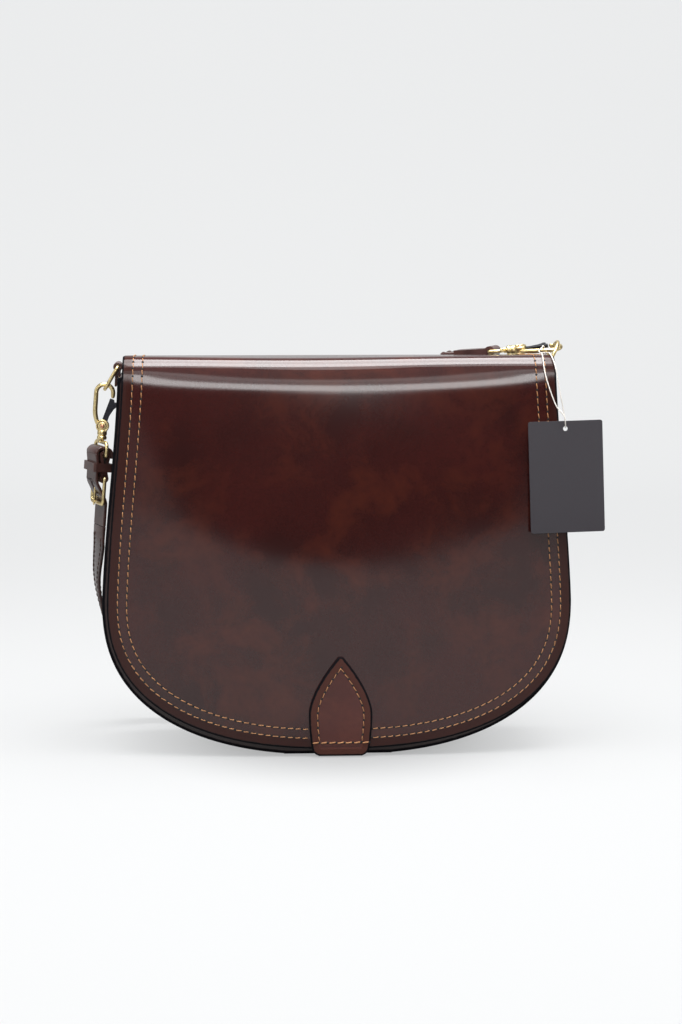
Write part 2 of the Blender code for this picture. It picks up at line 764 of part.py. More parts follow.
def make_tab(kit):
    """The pull tab on the flap, and its under layer inside the flap."""
    outer = TAB_THICKNESS + CLEARANCE
    inner = FLAP_THICKNESS + CLEARANCE
    upper = tab_rows(lambda x, z: flap_y(x, z) - outer)
    under = tab_rows(lambda x, z: flap_y(x, z) + inner)
    return [
        sheet(kit, "flap_tab", upper, TAB_THICKNESS, kit.leather),
        sheet(kit, "flap_tab_lining", under, TAB_LINING_THICKNESS, kit.leather),
    ]


def facing_frame(x, y, z, face_y):
    """A frame on a face: its Z axis points out of the face, towards -Y."""
    step = MM
    slope = (face_y(x, z + step) - face_y(x, z - step)) / (2 * step)
    turn = Matrix.Rotation(math.pi / 2 - math.atan(slope), 4, "X")
    return Matrix.Translation((x, y, z)) @ turn


def make_snap(kit):
    """The magnetic snap: plug half under the tab's lining, socket half on the front panel."""
    x, z = FLAP_SHIFT, SNAP_HEIGHT
    lining = flap_y(x, z) + FLAP_THICKNESS + TAB_LINING_THICKNESS + 2 * CLEARANCE
    male_middle = -(SNAP_MALE_THICKNESS / 2)
    male = link_piece(
        kit,
        "snap_plug_half",
        cylinder_mesh("snap_plug_half", SNAP_RADIUS, SNAP_MALE_THICKNESS, FINE_STEPS, (0, 0, male_middle)),
        kit.brass,
    )
    plug_low = -SNAP_MALE_THICKNESS - SNAP_PLUG_LENGTH
    plug = link_cutter(
        kit,
        "snap_plug_half_pin",
        cylinder_mesh("snap_plug_half_pin", SNAP_PLUG_RADIUS, -plug_low, SMALL_STEPS, (0, 0, plug_low / 2)),
    )
    combine(male, plug, "UNION")
    male.matrix_world = facing_frame(x, lining, z, flap_y)
    female = link_piece(
        kit,
        "snap_socket_half",
        cylinder_mesh(
            "snap_socket_half",
            SNAP_RADIUS,
            SNAP_FEMALE_THICKNESS,
            FINE_STEPS,
            (0, 0, SNAP_FEMALE_THICKNESS / 2),
        ),
        kit.brass,
    )
    socket_depth = SNAP_PLUG_LENGTH + CLEARANCE
    bore = link_cutter(
        kit,
        "snap_socket_bore",
        cylinder_mesh(
            "snap_socket_bore",
            SNAP_BORE_RADIUS,
            2 * socket_depth,
            SMALL_STEPS,
            (0, 0, SNAP_FEMALE_THICKNESS),
        ),
    )
    combine(female, bore, "DIFFERENCE")
    female.matrix_world = facing_frame(x, panel_y(x, z) - CLEARANCE, z, panel_y)
    inside = link_piece(
        kit,
        "snap_back_plate",
        cylinder_mesh(
            "snap_back_plate",
            SNAP_PLATE_RADIUS,
            SNAP_PLATE_THICKNESS,
            SMALL_STEPS,
            (0, 0, -SNAP_PLATE_THICKNESS / 2),
        ),
        kit.steel,
    )
    behind = panel_y(x, z) + PANEL_THICKNESS + CLEARANCE
    inside.matrix_world = facing_frame(x, behind, z, panel_y)
    return male


def side_lean():
    """How much the body's side leans at the ring tabs, and how far out the rings' bars are."""
    high = BODY.half_width(GUSSET_TOP)
    low = BODY.half_width(RING_TAB_LOW)
    lean = math.atan((low - high) / (GUSSET_TOP - RING_TAB_LOW))
    face = high - (RING_BAR_HEIGHT - GUSSET_TOP) * math.tan(lean)
    return lean, face + 2 * CLEARANCE + RING_TAB_LEATHER


def hang_angle():
    """How far out the left hook and strap hang, so that they follow the body's flaring side."""
    ring_end = RING_BAR_HEIGHT - RING_REACH
    strap_end = ring_end - HOOK_BARREL_DROP - HEEL_DROP - BUCKLE_LENGTH
    flare = BODY.half_width(strap_end) - BODY.half_width(ring_end)
    return math.atan(flare / (ring_end - strap_end)) - LEFT_HANG_EASE


SIDE_LEAN, RING_BAR_X = side_lean()
LEFT_HANG = hang_angle()


def make_ring_tab(kit, name, side):
    """A leather strip folded round the ring's bar, its two layers sewn on the gusset's outside."""
    inner = RING_WIRE + CLEARANCE
    outer = inner + RING_TAB_LEATHER
    half_slit = CLEARANCE / 2
    down = -(RING_BAR_HEIGHT - RING_TAB_LOW)
    leg = half_slit + RING_TAB_LEATHER
    inner_start = math.asin(half_slit / inner)
    outer_start = math.asin(leg / outer)
    round_out = arc_points((0.0, 0.0), outer, -math.pi / 2 + outer_start, 1.5 * math.pi - outer_start)
    round_in = arc_points((0.0, 0.0), inner, 1.5 * math.pi - inner_start, -math.pi / 2 + inner_start)
    outline = [(leg, down), *round_out, (-leg, down), (-half_slit, down), *round_in, (half_slit, down)]
    piece = plate(kit, name, [outline], RING_TAB_WIDTH, kit.strap)
    stand = Matrix.Rotation(math.pi / 2, 4, "X")
    tilt = Matrix.Rotation(-side * SIDE_LEAN, 4, "Y")
    piece.matrix_world = Matrix.Translation((side * RING_BAR_X, RING_Y, RING_BAR_HEIGHT)) @ tilt @ stand


def make_d_ring(kit, name, frame):
    """A D-ring: bar at the frame's origin along Y, bow towards the frame's -Z."""
    half = RING_INNER_WIDTH / 2 + RING_WIRE
    straight = RING_REACH - half
    corner = RING_CORNER
    points = []
    for y, z in arc_points((half - corner, -corner), corner, math.pi / 2, 0.0, CORNER_STEP):
        points.append((0.0, y, z))
    for y, z in arc_points((0.0, -straight), half, 0.0, -math.pi, CORNER_STEP / 2):
        points.append((0.0, y, z))
    for y, z in arc_points((corner - half, -corner), corner, math.pi, math.pi / 2, CORNER_STEP):
        points.append((0.0, y, z))
    ring = wire(kit, name, points, RING_WIRE, kit.brass, closed=True)
    ring.matrix_world = frame


CROWN_Z = RING_WIRE + CLEARANCE - HOOK_INNER_RADIUS
HOOK_BEND = HOOK_INNER_RADIUS + HOOK_WIRE
BOSS_Z = -HOOK_BOSS_DROP
BARREL_LOW = -HOOK_BARREL_DROP
CHAMBER_LOW = BARREL_LOW + HOOK_WALL
EYE_TOP = BARREL_LOW - CLEARANCE - EYE_WIRE
EYE_LOW = EYE_TOP - EYE_INNER_HEIGHT - 2 * EYE_WIRE


def hook_points():
    """The bent bar of the hook: shank on the left, crown above, tip on the right."""
    shank_foot = Vector((-HOOK_FOOT_IN, 0.0, BOSS_Z + HOOK_FOOT_RISE))
    shank_bend = Vector((-HOOK_BEND, 0.0, -HOOK_SHANK_DROP))
    control = Vector((-HOOK_BEND, 0.0, -HOOK_SHANK_DROP - HOOK_SHANK_EASE))
    points = []
    for i in range(6):
        t = i / 5
        points.append(shank_foot * (1 - t) ** 2 + control * 2 * t * (1 - t) + shank_bend * t**2)
    for x, z in arc_points((0.0, CROWN_Z), HOOK_BEND, math.pi, 0.0, ARC_STEP):
        points.append(Vector((x, 0.0, z)))
    points.append(Vector((HOOK_BEND, 0.0, -HOOK_TIP_DROP)))
    return points


def make_hook(kit, name, frame):
    """The hook body: bent bar, boss with the gate's slot, barrel with the swivel's chamber."""
    bar = wire(kit, name, hook_points(), HOOK_WIRE, kit.brass)
    body = to_mesh(kit, bar)
    boss = link_cutter(
        kit,
        name + "_boss",
        cylinder_mesh(
            name + "_boss", HOOK_BOSS_RADIUS, HOOK_BOSS_THICKNESS, FINE_STEPS, (0, 0, BOSS_Z), "Y"
        ),
    )
    barrel_top = BOSS_Z - GATE_LUG_RADIUS
    barrel = link_cutter(
        kit,
        name + "_barrel",
        cylinder_mesh(
            name + "_barrel",
            HOOK_BARREL_RADIUS,
            barrel_top - BARREL_LOW,
            FINE_STEPS,
            (0, 0, (barrel_top + BARREL_LOW) / 2),
        ),
    )
    combine(body, boss, "UNION")
    combine(body, barrel, "UNION")
    half_slot = GATE_THICKNESS / 2 + SLIDE_GAP
    lug_room = GATE_LUG_RADIUS + CLEARANCE
    slot = link_cutter(
        kit,
        name + "_slot",
        box_mesh(
            name + "_slot",
            (-lug_room, -half_slot, BOSS_Z - lug_room),
            (HOOK_BOSS_RADIUS + CUT_PAST, half_slot, BOSS_Z + HOOK_BOSS_RADIUS + CUT_PAST),
        ),
    )
    pin_bore = link_cutter(
        kit,
        name + "_pin_bore",
        cylinder_mesh(
            name + "_pin_bore",
            PIN_RADIUS + SLIDE_GAP,
            2 * HOOK_BOSS_THICKNESS,
            SMALL_STEPS,
            (0, 0, BOSS_Z),
            "Y",
        ),
    )
    neck = link_cutter(
        kit,
        name + "_neck",
        cylinder_mesh(
            name + "_neck", POST_RADIUS + SLIDE_GAP, 3 * HOOK_WALL, SMALL_STEPS, (0, 0, BARREL_LOW)
        ),
    )
    chamber_height = POST_HEAD + 2 * SLIDE_GAP
    chamber = link_cutter(
        kit,
        name + "_chamber",
        cylinder_mesh(
            name + "_chamber",
            POST_HEAD_RADIUS + SLIDE_GAP,
            chamber_height,
            SMALL_STEPS,
            (0, 0, CHAMBER_LOW + chamber_height / 2),
        ),
    )
    for cutter in (slot, pin_bore, neck, chamber):
        combine(body, cutter, "DIFFERENCE")
    body.matrix_world = frame
    return body


def gate_outline():
    """The gate: a ring round the pin, an arm up to the hook's tip and a thumb nub."""
    lug = GATE_LUG_RADIUS
    out = HOOK_BEND + HOOK_WIRE
    top_angle = math.pi / 2 - math.asin((out - GATE_TIP_INSET) / GATE_REACH)
    top_width = GATE_WIDTH / GATE_REACH
    nub_z = -GATE_NUB_DROP
    nub_x = out + GATE_NUB_OUT - GATE_NUB_RADIUS
    outline = arc_points((0.0, BOSS_Z), lug, GATE_LUG_START, GATE_LUG_END)
    outline.append((out - GATE_ARM_INSET, BOSS_Z + GATE_ARM_RISE))
    outline.append((out - GATE_BACK_INSET, nub_z - GATE_NUB_RADIUS - GATE_NUB_EASE))
    outline += arc_points((nub_x, nub_z), GATE_NUB_RADIUS, -math.pi / 2, math.pi / 2, 2 * ARC_STEP)
    outline.append((out - GATE_FRONT_INSET, nub_z + GATE_NUB_RADIUS))
    outline += arc_points((0.0, BOSS_Z), GATE_REACH, top_angle, top_angle + top_width, top_width / 2)
    return outline


def make_gate(kit, name, frame):
    """The gate with its pin bore, on the pin's axis."""
    bore = circle_points(PIN_RADIUS + SLIDE_GAP)
    rim = [(x, z - BOSS_Z) for x, z in gate_outline()]
    gate = plate(kit, name, [rim, bore], GATE_THICKNESS, kit.steel)
    stand = Matrix.Rotation(math.pi / 2, 4, "X")
    gate.matrix_world = frame @ Matrix.Translation((0, 0, BOSS_Z)) @ stand
    return gate


def make_pin(kit, name, frame):
    """The gate's pin, with a head on each side of the boss."""
    reach = HOOK_BOSS_THICKNESS / 2 + CLEARANCE
    top = reach + PIN_HEAD
    profile = [(0.0, top), (PIN_HEAD_RADIUS, top), (PIN_HEAD_RADIUS, reach), (PIN_RADIUS, reach)]
    profile += [(PIN_RADIUS, -reach), (PIN_HEAD_RADIUS, -reach), (PIN_HEAD_RADIUS, -top), (0.0, -top)]
    pin = turned(kit, name, profile, SMALL_STEPS, kit.copper)
    stand = Matrix.Rotation(math.pi / 2, 4, "X")
    pin.matrix_world = frame @ Matrix.Translation((0, 0, BOSS_Z)) @ stand
    return pin


def turned(kit, name, profile, steps, material):
    """A turned solid from a profile that runs down its outer side."""
    mesh = bpy.data.meshes.new(name)
    verts = [(radius, 0.0, height) for radius, height in profile]
    edges = [(i, i + 1) for i in range(len(verts) - 1)]
    mesh.from_pydata(verts, edges, [])
    piece = link_piece(kit, name, mesh, material)
    screw = piece.modifiers.new("turn", "SCREW")
    screw.axis = "Z"
    screw.steps = steps
    screw.render_steps = steps
    screw.use_merge_vertices = True
    screw.merge_threshold = MERGE_DISTANCE
    screw.use_normal_calculate = False
    return piece


def eye_points():
    """The swivel eye's loop, wide along X, with rounded corners."""
    half = STRAP_WIDTH / 2 + STRAP_EDGE_ROOM + EYE_WIRE
    low_radius = EYE_LOW_RADIUS
    high_radius = EYE_HIGH_RADIUS
    points = []
    corners = [
        ((half - high_radius, EYE_TOP - high_radius), high_radius, math.pi / 2, 0.0),
        ((half - low_radius, EYE_LOW + low_radius), low_radius, 0.0, -math.pi / 2),
        ((low_radius - half, EYE_LOW + low_radius), low_radius, -math.pi / 2, -math.pi),
        ((high_radius - half, EYE_TOP - high_radius), high_radius, math.pi, math.pi / 2),
    ]
    for centre, radius, start, end in corners:
        points += [Vector((x, 0.0, z)) for x, z in arc_points(centre, radius, start, end, ROUND_STEP)]
    return points


def make_eye(kit, name, frame):
    """The swivel eye: strap loop, post through the barrel's neck and head in its chamber."""
    loop = wire(kit, name, eye_points(), EYE_WIRE, kit.brass, closed=True)
    eye = to_mesh(kit, loop)
    head_low = CHAMBER_LOW + SLIDE_GAP
    post = link_cutter(
        kit,
        name + "_post",
        cylinder_mesh(
            name + "_post",
            POST_RADIUS,
            head_low + POST_HEAD / 2 - EYE_TOP,
            SMALL_STEPS,
            (0, 0, (head_low + POST_HEAD / 2 + EYE_TOP) / 2),
        ),
    )
    head = link_cutter(
        kit,
        name + "_head",
        cylinder_mesh(
            name + "_head", POST_HEAD_RADIUS, POST_HEAD, SMALL_STEPS, (0, 0, head_low + POST_HEAD / 2)
        ),
    )
    combine(eye, post, "UNION")
    combine(eye, head, "UNION")
    eye.matrix_world = frame
    return eye


def ribbon_outline(route, thickness):
    """The closed outline of a strip seen edge-on, along a route of (across, along) points."""
    route = [Vector(p) for p in route]
    left, right = [], []
    for i, place in enumerate(route):
        before = route[max(0, i - 1)]
        after = route[min(len(route) - 1, i + 1)]
        along = (after - before).normalized()
        across = Vector((-along.y, along.x))
        into = (place - before).normalized() if i > 0 else along
        stretch = 1.0 / max(0.5, into.dot(along))
        left.append(place + across * thickness / 2 * stretch)
        right.append(place - across * thickness / 2 * stretch)
    return [(p.x, p.y) for p in left + list(reversed(right))]


HEEL_Z = EYE_LOW - HEEL_DROP
BUCKLE_END_Z = HEEL_Z - BUCKLE_LENGTH


def hairpin_between(high, high_radius, low, low_radius, leather):
    """Outer outline and holes of a strip folded round two bars and sewn together between them."""
    outer_high = high_radius + leather
    outer_low = low_radius + leather
    waist = (high - LOOP_WAIST * high_radius + low + low_radius) / 2
    top = arc_points((0.0, high), outer_high, 0.0, math.pi)
    bottom = arc_points((0.0, low), outer_low, math.pi, 2 * math.pi)
    outline = [*top, (-leather, waist), *bottom, (leather, waist)]
    tip = high - LOOP_TIP * high_radius
    drop = arc_points((0.0, high), high_radius, -0.25 * math.pi, 1.25 * math.pi)
    upper_hole = [*drop, (0.0, tip)]
    return [outline, upper_hole, circle_points(low_radius, low)]


def make_buckle_strap(kit, frame):
    """The short strap piece between the swivel eye and the buckle's heel bar."""
    heel_hollow = BUCKLE_WIRE + LOOP_BAR_ROOM
    outlines = hairpin_between(EYE_LOW, LOOP_HOLLOW_RADIUS, HEEL_Z, heel_hollow, LOOP_LEATHER)
    piece = to_mesh(kit, plate(kit, "buckle_strap", outlines, STRAP_WIDTH, kit.strap))
    reach = BUCKLE_WIRE + LOOP_BAR_ROOM + LOOP_LEATHER + CUT_PAST
    slot = link_cutter(
        kit,
        "buckle_strap_slot",
        box_mesh(
            "buckle_strap_slot",
            (-reach, HEEL_Z - reach, -PRONG_SLOT_WIDTH / 2),
            (reach, HEEL_Z + BUCKLE_WIRE + 2 * PRONG_WIRE + 3 * CLEARANCE, PRONG_SLOT_WIDTH / 2),
        ),
    )
    combine(piece, slot, "DIFFERENCE")
    piece.matrix_world = frame
    return piece


def make_buckle(kit, frame):
    """The buckle frame: heel bar above, end bar below, in the plane of X and Y of its frame."""
    half = STRAP_WIDTH / 2 + STRAP_EDGE_ROOM + BUCKLE_WIRE
    heel = BUCKLE_HEEL_RADIUS
    corner = BUCKLE_END_RADIUS
    points = []
    corners = [
        ((half - heel, HEEL_Z - heel), heel, math.pi / 2, 0.0),
        ((half - corner, BUCKLE_END_Z + corner), corner, 0.0, -math.pi / 2),
        ((corner - half, BUCKLE_END_Z + corner), corner, -math.pi / 2, -math.pi),
        ((heel - half, HEEL_Z - heel), heel, math.pi, math.pi / 2),
    ]
    for centre, radius, start, end in corners:
        points += [Vector((0.0, z, x)) for x, z in arc_points(centre, radius, start, end, CORNER_STEP)]
    buckle = wire(kit, "buckle_frame", points, BUCKLE_WIRE, kit.brass, closed=True)
    buckle.matrix_world = frame
    return buckle


def make_prong(kit, frame):
    """The buckle's prong: bent round the heel bar, through the strap and over the end bar."""
    ring = BUCKLE_WIRE + CLEARANCE + PRONG_WIRE
    points = []
    for x, z in arc_points((0.0, 0.0), ring, PRONG_CURL_END, -2 * math.pi, ROUND_STEP):
        points.append((x, z, 0.0))
    points.append((ring, -PRONG_STRAIGHT, 0.0))
    points.append((ring + PRONG_LEAN, -BUCKLE_LENGTH - PRONG_PAST, 0.0))
    prong = wire(kit, "buckle_prong", points, PRONG_WIRE, kit.brass)
    prong.matrix_world = frame @ Matrix.Translation((0.0, HEEL_Z, 0.0))
    return prong


def strap_tip_route():
    """The strap's end through the buckle, seen edge-on: outside the heel, under the end bar."""
    end_bar = HEEL_Z - BUCKLE_LENGTH
    return [
        (STRAP_RIDE + STRAP_TIP_CURL, HEEL_Z + STRAP_TIP_RISE),
        (STRAP_RIDE + STRAP_TIP_CURL / 3, HEEL_Z + STRAP_TIP_RISE - STRAP_TIP_CURL_LENGTH),
        (STRAP_RIDE, HEEL_Z + KEEPER_RISE),
        (STRAP_RIDE, HEEL_Z - STRAP_DIVE_START),
        (STRAP_RIDE - STRAP_DIVE_ROUND, HEEL_Z - STRAP_DIVE_START - STRAP_DIVE_TURN),
        (-STRAP_UNDER + STRAP_DIVE_ROUND, end_bar + STRAP_DIVE_END + STRAP_DIVE_TURN),
        (-STRAP_UNDER, end_bar + STRAP_DIVE_END),
        (-STRAP_UNDER, end_bar - STRAP_SETTLE),
        (-STRAP_UNDER, HEEL_Z - STRAP_TAIL),
    ]


def make_strap_tip(kit, frame):
    """The strap's left end, with the slot that the prong goes through."""
    outline = ribbon_outline(strap_tip_route(), STRAP_THICKNESS)
    piece = to_mesh(kit, plate(kit, "strap_left_end", [outline], STRAP_WIDTH, kit.strap))
    slot = link_cutter(
        kit,
        "strap_left_end_slot",
        box_mesh(
            "strap_left_end_slot",
            (-STRAP_UNDER, HEEL_Z - PRONG_SLOT_START - PRONG_SLOT_LENGTH, -PRONG_SLOT_WIDTH / 2),
            (STRAP_RIDE + STRAP_THICKNESS, HEEL_Z - PRONG_SLOT_START, PRONG_SLOT_WIDTH / 2),
        ),
    )
    combine(piece, slot, "DIFFERENCE")
    piece.matrix_world = frame
    return piece


def make_keeper(kit, frame):
    """The keeper: a leather band round the short strap piece and the strap's end."""
    low_x = -LOOP_LEATHER - LOOP_HOLLOW_RADIUS
    high_x = STRAP_RIDE + STRAP_THICKNESS / 2 + 2 * CLEARANCE
    half = STRAP_WIDTH / 2 + CLEARANCE
    outlines = []
    for grow in (KEEPER_LEATHER, 0.0):
        outlines.append(
            rounded_box((low_x - grow, -half - grow), (high_x + grow, half + grow), KEEPER_CORNER + grow)
        )
    keeper = plate(kit, "strap_keeper", outlines, KEEPER_HEIGHT, kit.strap)
    stand = Matrix.Rotation(math.pi / 2, 4, "X")
    keeper.matrix_world = frame @ Matrix.Translation((0.0, HEEL_Z + KEEPER_RISE, 0.0)) @ stand
    return keeper


def make_right_fold(kit, frame):
    """The strap's right end, folded round the right eye and sewn together."""
    hollow = EYE_WIRE + LOOP_BAR_ROOM
    outer = hollow + STRAP_THICKNESS
    low = EYE_LOW - RIGHT_FOLD_LENGTH
    start = math.asin(STRAP_THICKNESS / outer) - math.pi / 2
    top = arc_points((0.0, EYE_LOW), outer, start, math.pi - start)
    outline = [(STRAP_THICKNESS, low), *top, (-STRAP_THICKNESS, low)]
    hole = circle_points(hollow, EYE_LOW)
    piece = plate(kit, "strap_right_end", [outline, hole], STRAP_WIDTH, kit.strap)
    piece.matrix_world = frame
    return piece


def strap_run(kit, name, knots, start_frame):
    """A free stretch of the strap, whose width turns from its first frame to lie along Y."""
    wide_start = start_frame.to_3x3() @ Vector((0.0, 0.0, 1.0))
    wide_end = Vector((0.0, math.copysign(1.0, wide_start.y), 0.0))
    turns = [wide_start, wide_start.lerp(wide_end, STRAP_TURN_SHARE), wide_end, wide_end, wide_end]
    route = knotted_route(knots, STRAP_RUN_SPACING)
    count = len(route)
    rings = []
    for i, place in enumerate(route):
        before = route[i - 1] if i > 0 else place * 2 - Vector(knots[1])
        after = route[i + 1] if i < count - 1 else place * 2 - Vector(knots[-2])
        along = (after - before).normalized()
        share = i / (count - 1) * (len(turns) - 1)
        j = min(len(turns) - 2, int(share))
        wide = Vector(turns[j]).lerp(Vector(turns[j + 1]), share - j)
        wide = (wide - along * wide.dot(along)).normalized() * STRAP_WIDTH / 2
        thick = along.cross(wide).normalized() * STRAP_THICKNESS / 2
        upper, lower = place + thick, place - thick
        rings.append([upper + wide, upper - wide, lower - wide, lower + wide])
    loft(kit, name, rings, kit.strap)


def folds_route():
    """The folded strap on the floor, seen along Y: straight layers joined by round turns."""
    rise = STRAP_THICKNESS / 2
    step = FOLDS_PITCH
    points = [(-FOLDS_HALF, rise)]
    for layer in range(FOLDS_LAYERS):
        side = 1.0 if layer % 2 == 0 else -1.0
        height = rise + layer * step
        points.append((side * FOLDS_HALF, height))
        if layer < FOLDS_LAYERS - 1:
            centre = (side * FOLDS_HALF, height + step / 2)
            turn = arc_points(centre, step / 2, -math.pi / 2, math.pi / 2, ROUND_STEP)
            points += [(side * abs(x - centre[0]) + centre[0], z) for x, z in turn[1:-1]]
            points.append((side * FOLDS_HALF, height + step))
    return points


def make_folds(kit):
    """The strap's middle, folded on the floor behind the bag."""
    outline = ribbon_outline(folds_route(), STRAP_THICKNESS)
    folds = plate(kit, "strap_folds", [outline], STRAP_WIDTH, kit.strap)
    stand = Matrix.Rotation(math.pi / 2, 4, "X")
    folds.matrix_world = Matrix.Translation((0.0, FOLDS_Y, 0.0)) @ stand


def make_tag(kit):
    """The swing tag, hanging before the right side of the flap, with its hole at the origin."""
    low = (-TAG_WIDTH / 2, TAG_HOLE_DROP - TAG_HEIGHT)
    high = (TAG_WIDTH / 2, TAG_HOLE_DROP)
    outlines = [rounded_box(low, high, TAG_CORNER_RADIUS), circle_points(TAG_HOLE_RADIUS)]
    tag = plate(kit, "swing_tag", outlines, TAG_CARD, kit.card)
    stand = Matrix.Rotation(math.pi / 2 - TAG_LEAN, 4, "X")
    turn = Matrix.Rotation(TAG_TURN, 4, "Y")
    tag.matrix_world = Matrix.Translation(TAG_HOLE_PLACE) @ turn @ stand


def round_shank(hook_frame, angle, place):
    """A point of the string's loop round the hook's shank."""
    x = STRING_WRAP_RADIUS * math.cos(angle) - HOOK_BEND
    return hook_frame @ Vector((x, STRING_WRAP_RADIUS * math.sin(angle), place))


def make_string(kit, hook_frame):
    """The string: round the right hook's shank, over the flap, through the tag and back again."""
    first, over, last = STRING_WRAP_PLACES
    wrap = []
    for i in range(STRING_WRAP_STEPS + 1):
        share = i / STRING_WRAP_STEPS
        angle = STRING_WRAP_START + (STRING_WRAP_TOP - STRING_WRAP_START) * share
        wrap.append(round_shank(hook_frame, angle, first + (over - first) * share))
    hole = Vector(TAG_HOLE_PLACE)
    through = [hole + Vector(point) for point in STRING_THROUGH]
    under = [
        round_shank(hook_frame, STRING_WRAP_UNDER, last),
        round_shank(hook_frame, STRING_WRAP_END, last),
    ]
    knots = [*wrap, *STRING_DOWN, *through, *STRING_UP, *under]
    return wire(kit, "tag_string", knotted_route(knots, STRING_SPACING), STRING_RADIUS, kit.string)


def chain_frames():
    """Frames of the left and right hooks and eyes, and of the D-rings."""
    left_bar = Matrix.Translation((-RING_BAR_X, RING_Y, RING_BAR_HEIGHT))
    right_bar = Matrix.Translation((RING_BAR_X, RING_Y, RING_BAR_HEIGHT))
    left_ring = left_bar @ Matrix.Rotation(LEFT_RING_TILT, 4, "Y")
    right_ring = right_bar @ Matrix.Rotation(-RIGHT_RING_TILT, 4, "Y")
    hang = Matrix.Rotation(LEFT_HANG, 4, "Y")
    left_hook = Matrix.Translation(left_ring @ Vector((0.0, 0.0, -RING_REACH))) @ hang
    left_eye = left_hook @ Matrix.Rotation(math.pi / 2 + LEFT_SWIVEL_TURN, 4, "Z")
    half = RING_INNER_WIDTH / 2 + RING_WIRE
    bow = math.asin((RIGHT_CONTACT_REACH - (RING_REACH - half)) / half)
    contact = right_ring @ Vector((0.0, half * math.cos(bow), -RIGHT_CONTACT_REACH))
    crown = Vector((
        math.cos(RIGHT_CHAIN_TURN) * math.cos(RIGHT_CHAIN_SLOPE),
        -math.sin(RIGHT_CHAIN_TURN) * math.cos(RIGHT_CHAIN_SLOPE),
        math.sin(RIGHT_CHAIN_SLOPE),
    ))
    level = Vector((0.0, 0.0, 1.0)).cross(crown).normalized()
    above = crown.cross(level)
    flat = Matrix((level, above, crown)).transposed().to_4x4()
    right_eye = Matrix.Translation(contact) @ flat @ Matrix.Translation((0.0, 0.0, -CROWN_Z))
    right_hook = right_eye @ Matrix.Rotation(RIGHT_HOOK_ROLL, 4, "Z")
    return {
        "left_ring": left_ring,
        "right_ring": right_ring,
        "left_hook": left_hook,
        "left_eye": left_eye,
        "right_hook": right_hook,
        "right_eye": right_eye,
    }


def make_hardware(kit, frames, word):
    """One side's ring, hook, gate, pin and swivel eye."""
    make_d_ring(kit, word + "_d_ring", frames[word + "_ring"])
    hook_frame = frames[word + "_hook"]
    hook = make_hook(kit, word + "_hook_body", hook_frame)
    gate = make_gate(kit, word + "_hook_gate", hook_frame)
    pin = make_pin(kit, word + "_gate_pin", hook_frame)
    eye = make_eye(kit, word + "_swivel_eye", frames[word + "_eye"])
    return [hook, gate, pin, eye]


def make_left_strap(kit, left):
    """The buckle piece with its buckle, prong and keeper, and the strap's left end."""
    return [
        make_buckle_strap(kit, left),
        make_buckle(kit, left),
        make_prong(kit, left),
        make_strap_tip(kit, left),
        make_keeper(kit, left),
    ]


def edge_frame(eye_frame):
    """The frame in which a strip at an eye is drawn edge-on: X outward, Y along, Z across."""
    return eye_frame @ Matrix.Rotation(math.pi / 2, 4, "Z") @ Matrix.Rotation(math.pi / 2, 4, "X")


def make_left_run(kit, left):
    """The strap from the buckle down behind the bag to the floor."""
    start = left @ Vector((-STRAP_UNDER, HEEL_Z - STRAP_TAIL - CLEARANCE, 0.0))
    ahead = left @ Vector((-STRAP_UNDER, HEEL_Z - STRAP_TAIL - STRAP_RUN_AHEAD, 0.0))
    end = Vector((-FOLDS_HALF - CLEARANCE, FOLDS_Y, STRAP_THICKNESS / 2))
    strap_run(kit, "strap_left_run", [start, ahead, *LEFT_RUN, end], left)


def make_right_run(kit, right):
    """The strap from the right end down behind the bag to the folds."""
    low = EYE_LOW - RIGHT_FOLD_LENGTH
    start = right @ Vector((0.0, low - CLEARANCE, 0.0))
    ahead = right @ Vector((0.0, low - STRAP_RUN_AHEAD, 0.0))
    end_height = STRAP_THICKNESS / 2 + (FOLDS_LAYERS - 1) * FOLDS_PITCH
    end = Vector((FOLDS_HALF + CLEARANCE, FOLDS_Y, end_height))
    strap_run(kit, "strap_right_run", [start, ahead, *RIGHT_RUN, end], right)


def main():
    """Build the bag."""
    clear_scene()
    kit = Kit()
    make_back_panel(kit)
    make_front_panel(kit)
    make_gusset(kit)
    flap_top = make_flap_top(kit)
    frames = chain_frames()
    string = make_string(kit, frames["right_hook"])
    flap_front = [make_flap_front(kit), *make_tab(kit), make_snap(kit), string]
    left = edge_frame(frames["left_eye"])
    right = edge_frame(frames["right_eye"])
    make_ring_tab(kit, "left_ring_tab", -1)
    make_ring_tab(kit, "right_ring_tab", 1)
    left_end = make_hardware(kit, frames, "left") + make_left_strap(kit, left)
    right_end = [*make_hardware(kit, frames, "right"), make_right_fold(kit, right)]
    make_folds(kit)
    make_left_run(kit, left)
    make_right_run(kit, right)
    make_tag(kit)
    lift = hang_on(kit, "flap_lift_axis", (0.0, *LIFT_AXIS), flap_front)
    hang_on(kit, "flap_fold_axis", (0.0, *FOLD_AXIS), [flap_top, lift])
    hang_on(kit, "left_strap_axis", (-RING_BAR_X, RING_Y, RING_BAR_HEIGHT), left_end)
    hang_on(kit, "right_strap_axis", (RING_BAR_X, RING_Y, RING_BAR_HEIGHT), right_end)


main()
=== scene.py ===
"""Looks of a brown leather bell bag with a full flap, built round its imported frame."""

import logging
import math
from collections.abc import Sequence
from dataclasses import dataclass, field
from enum import Enum

import bmesh
import bpy
import numpy as np
from mathutils import Matrix, Vector


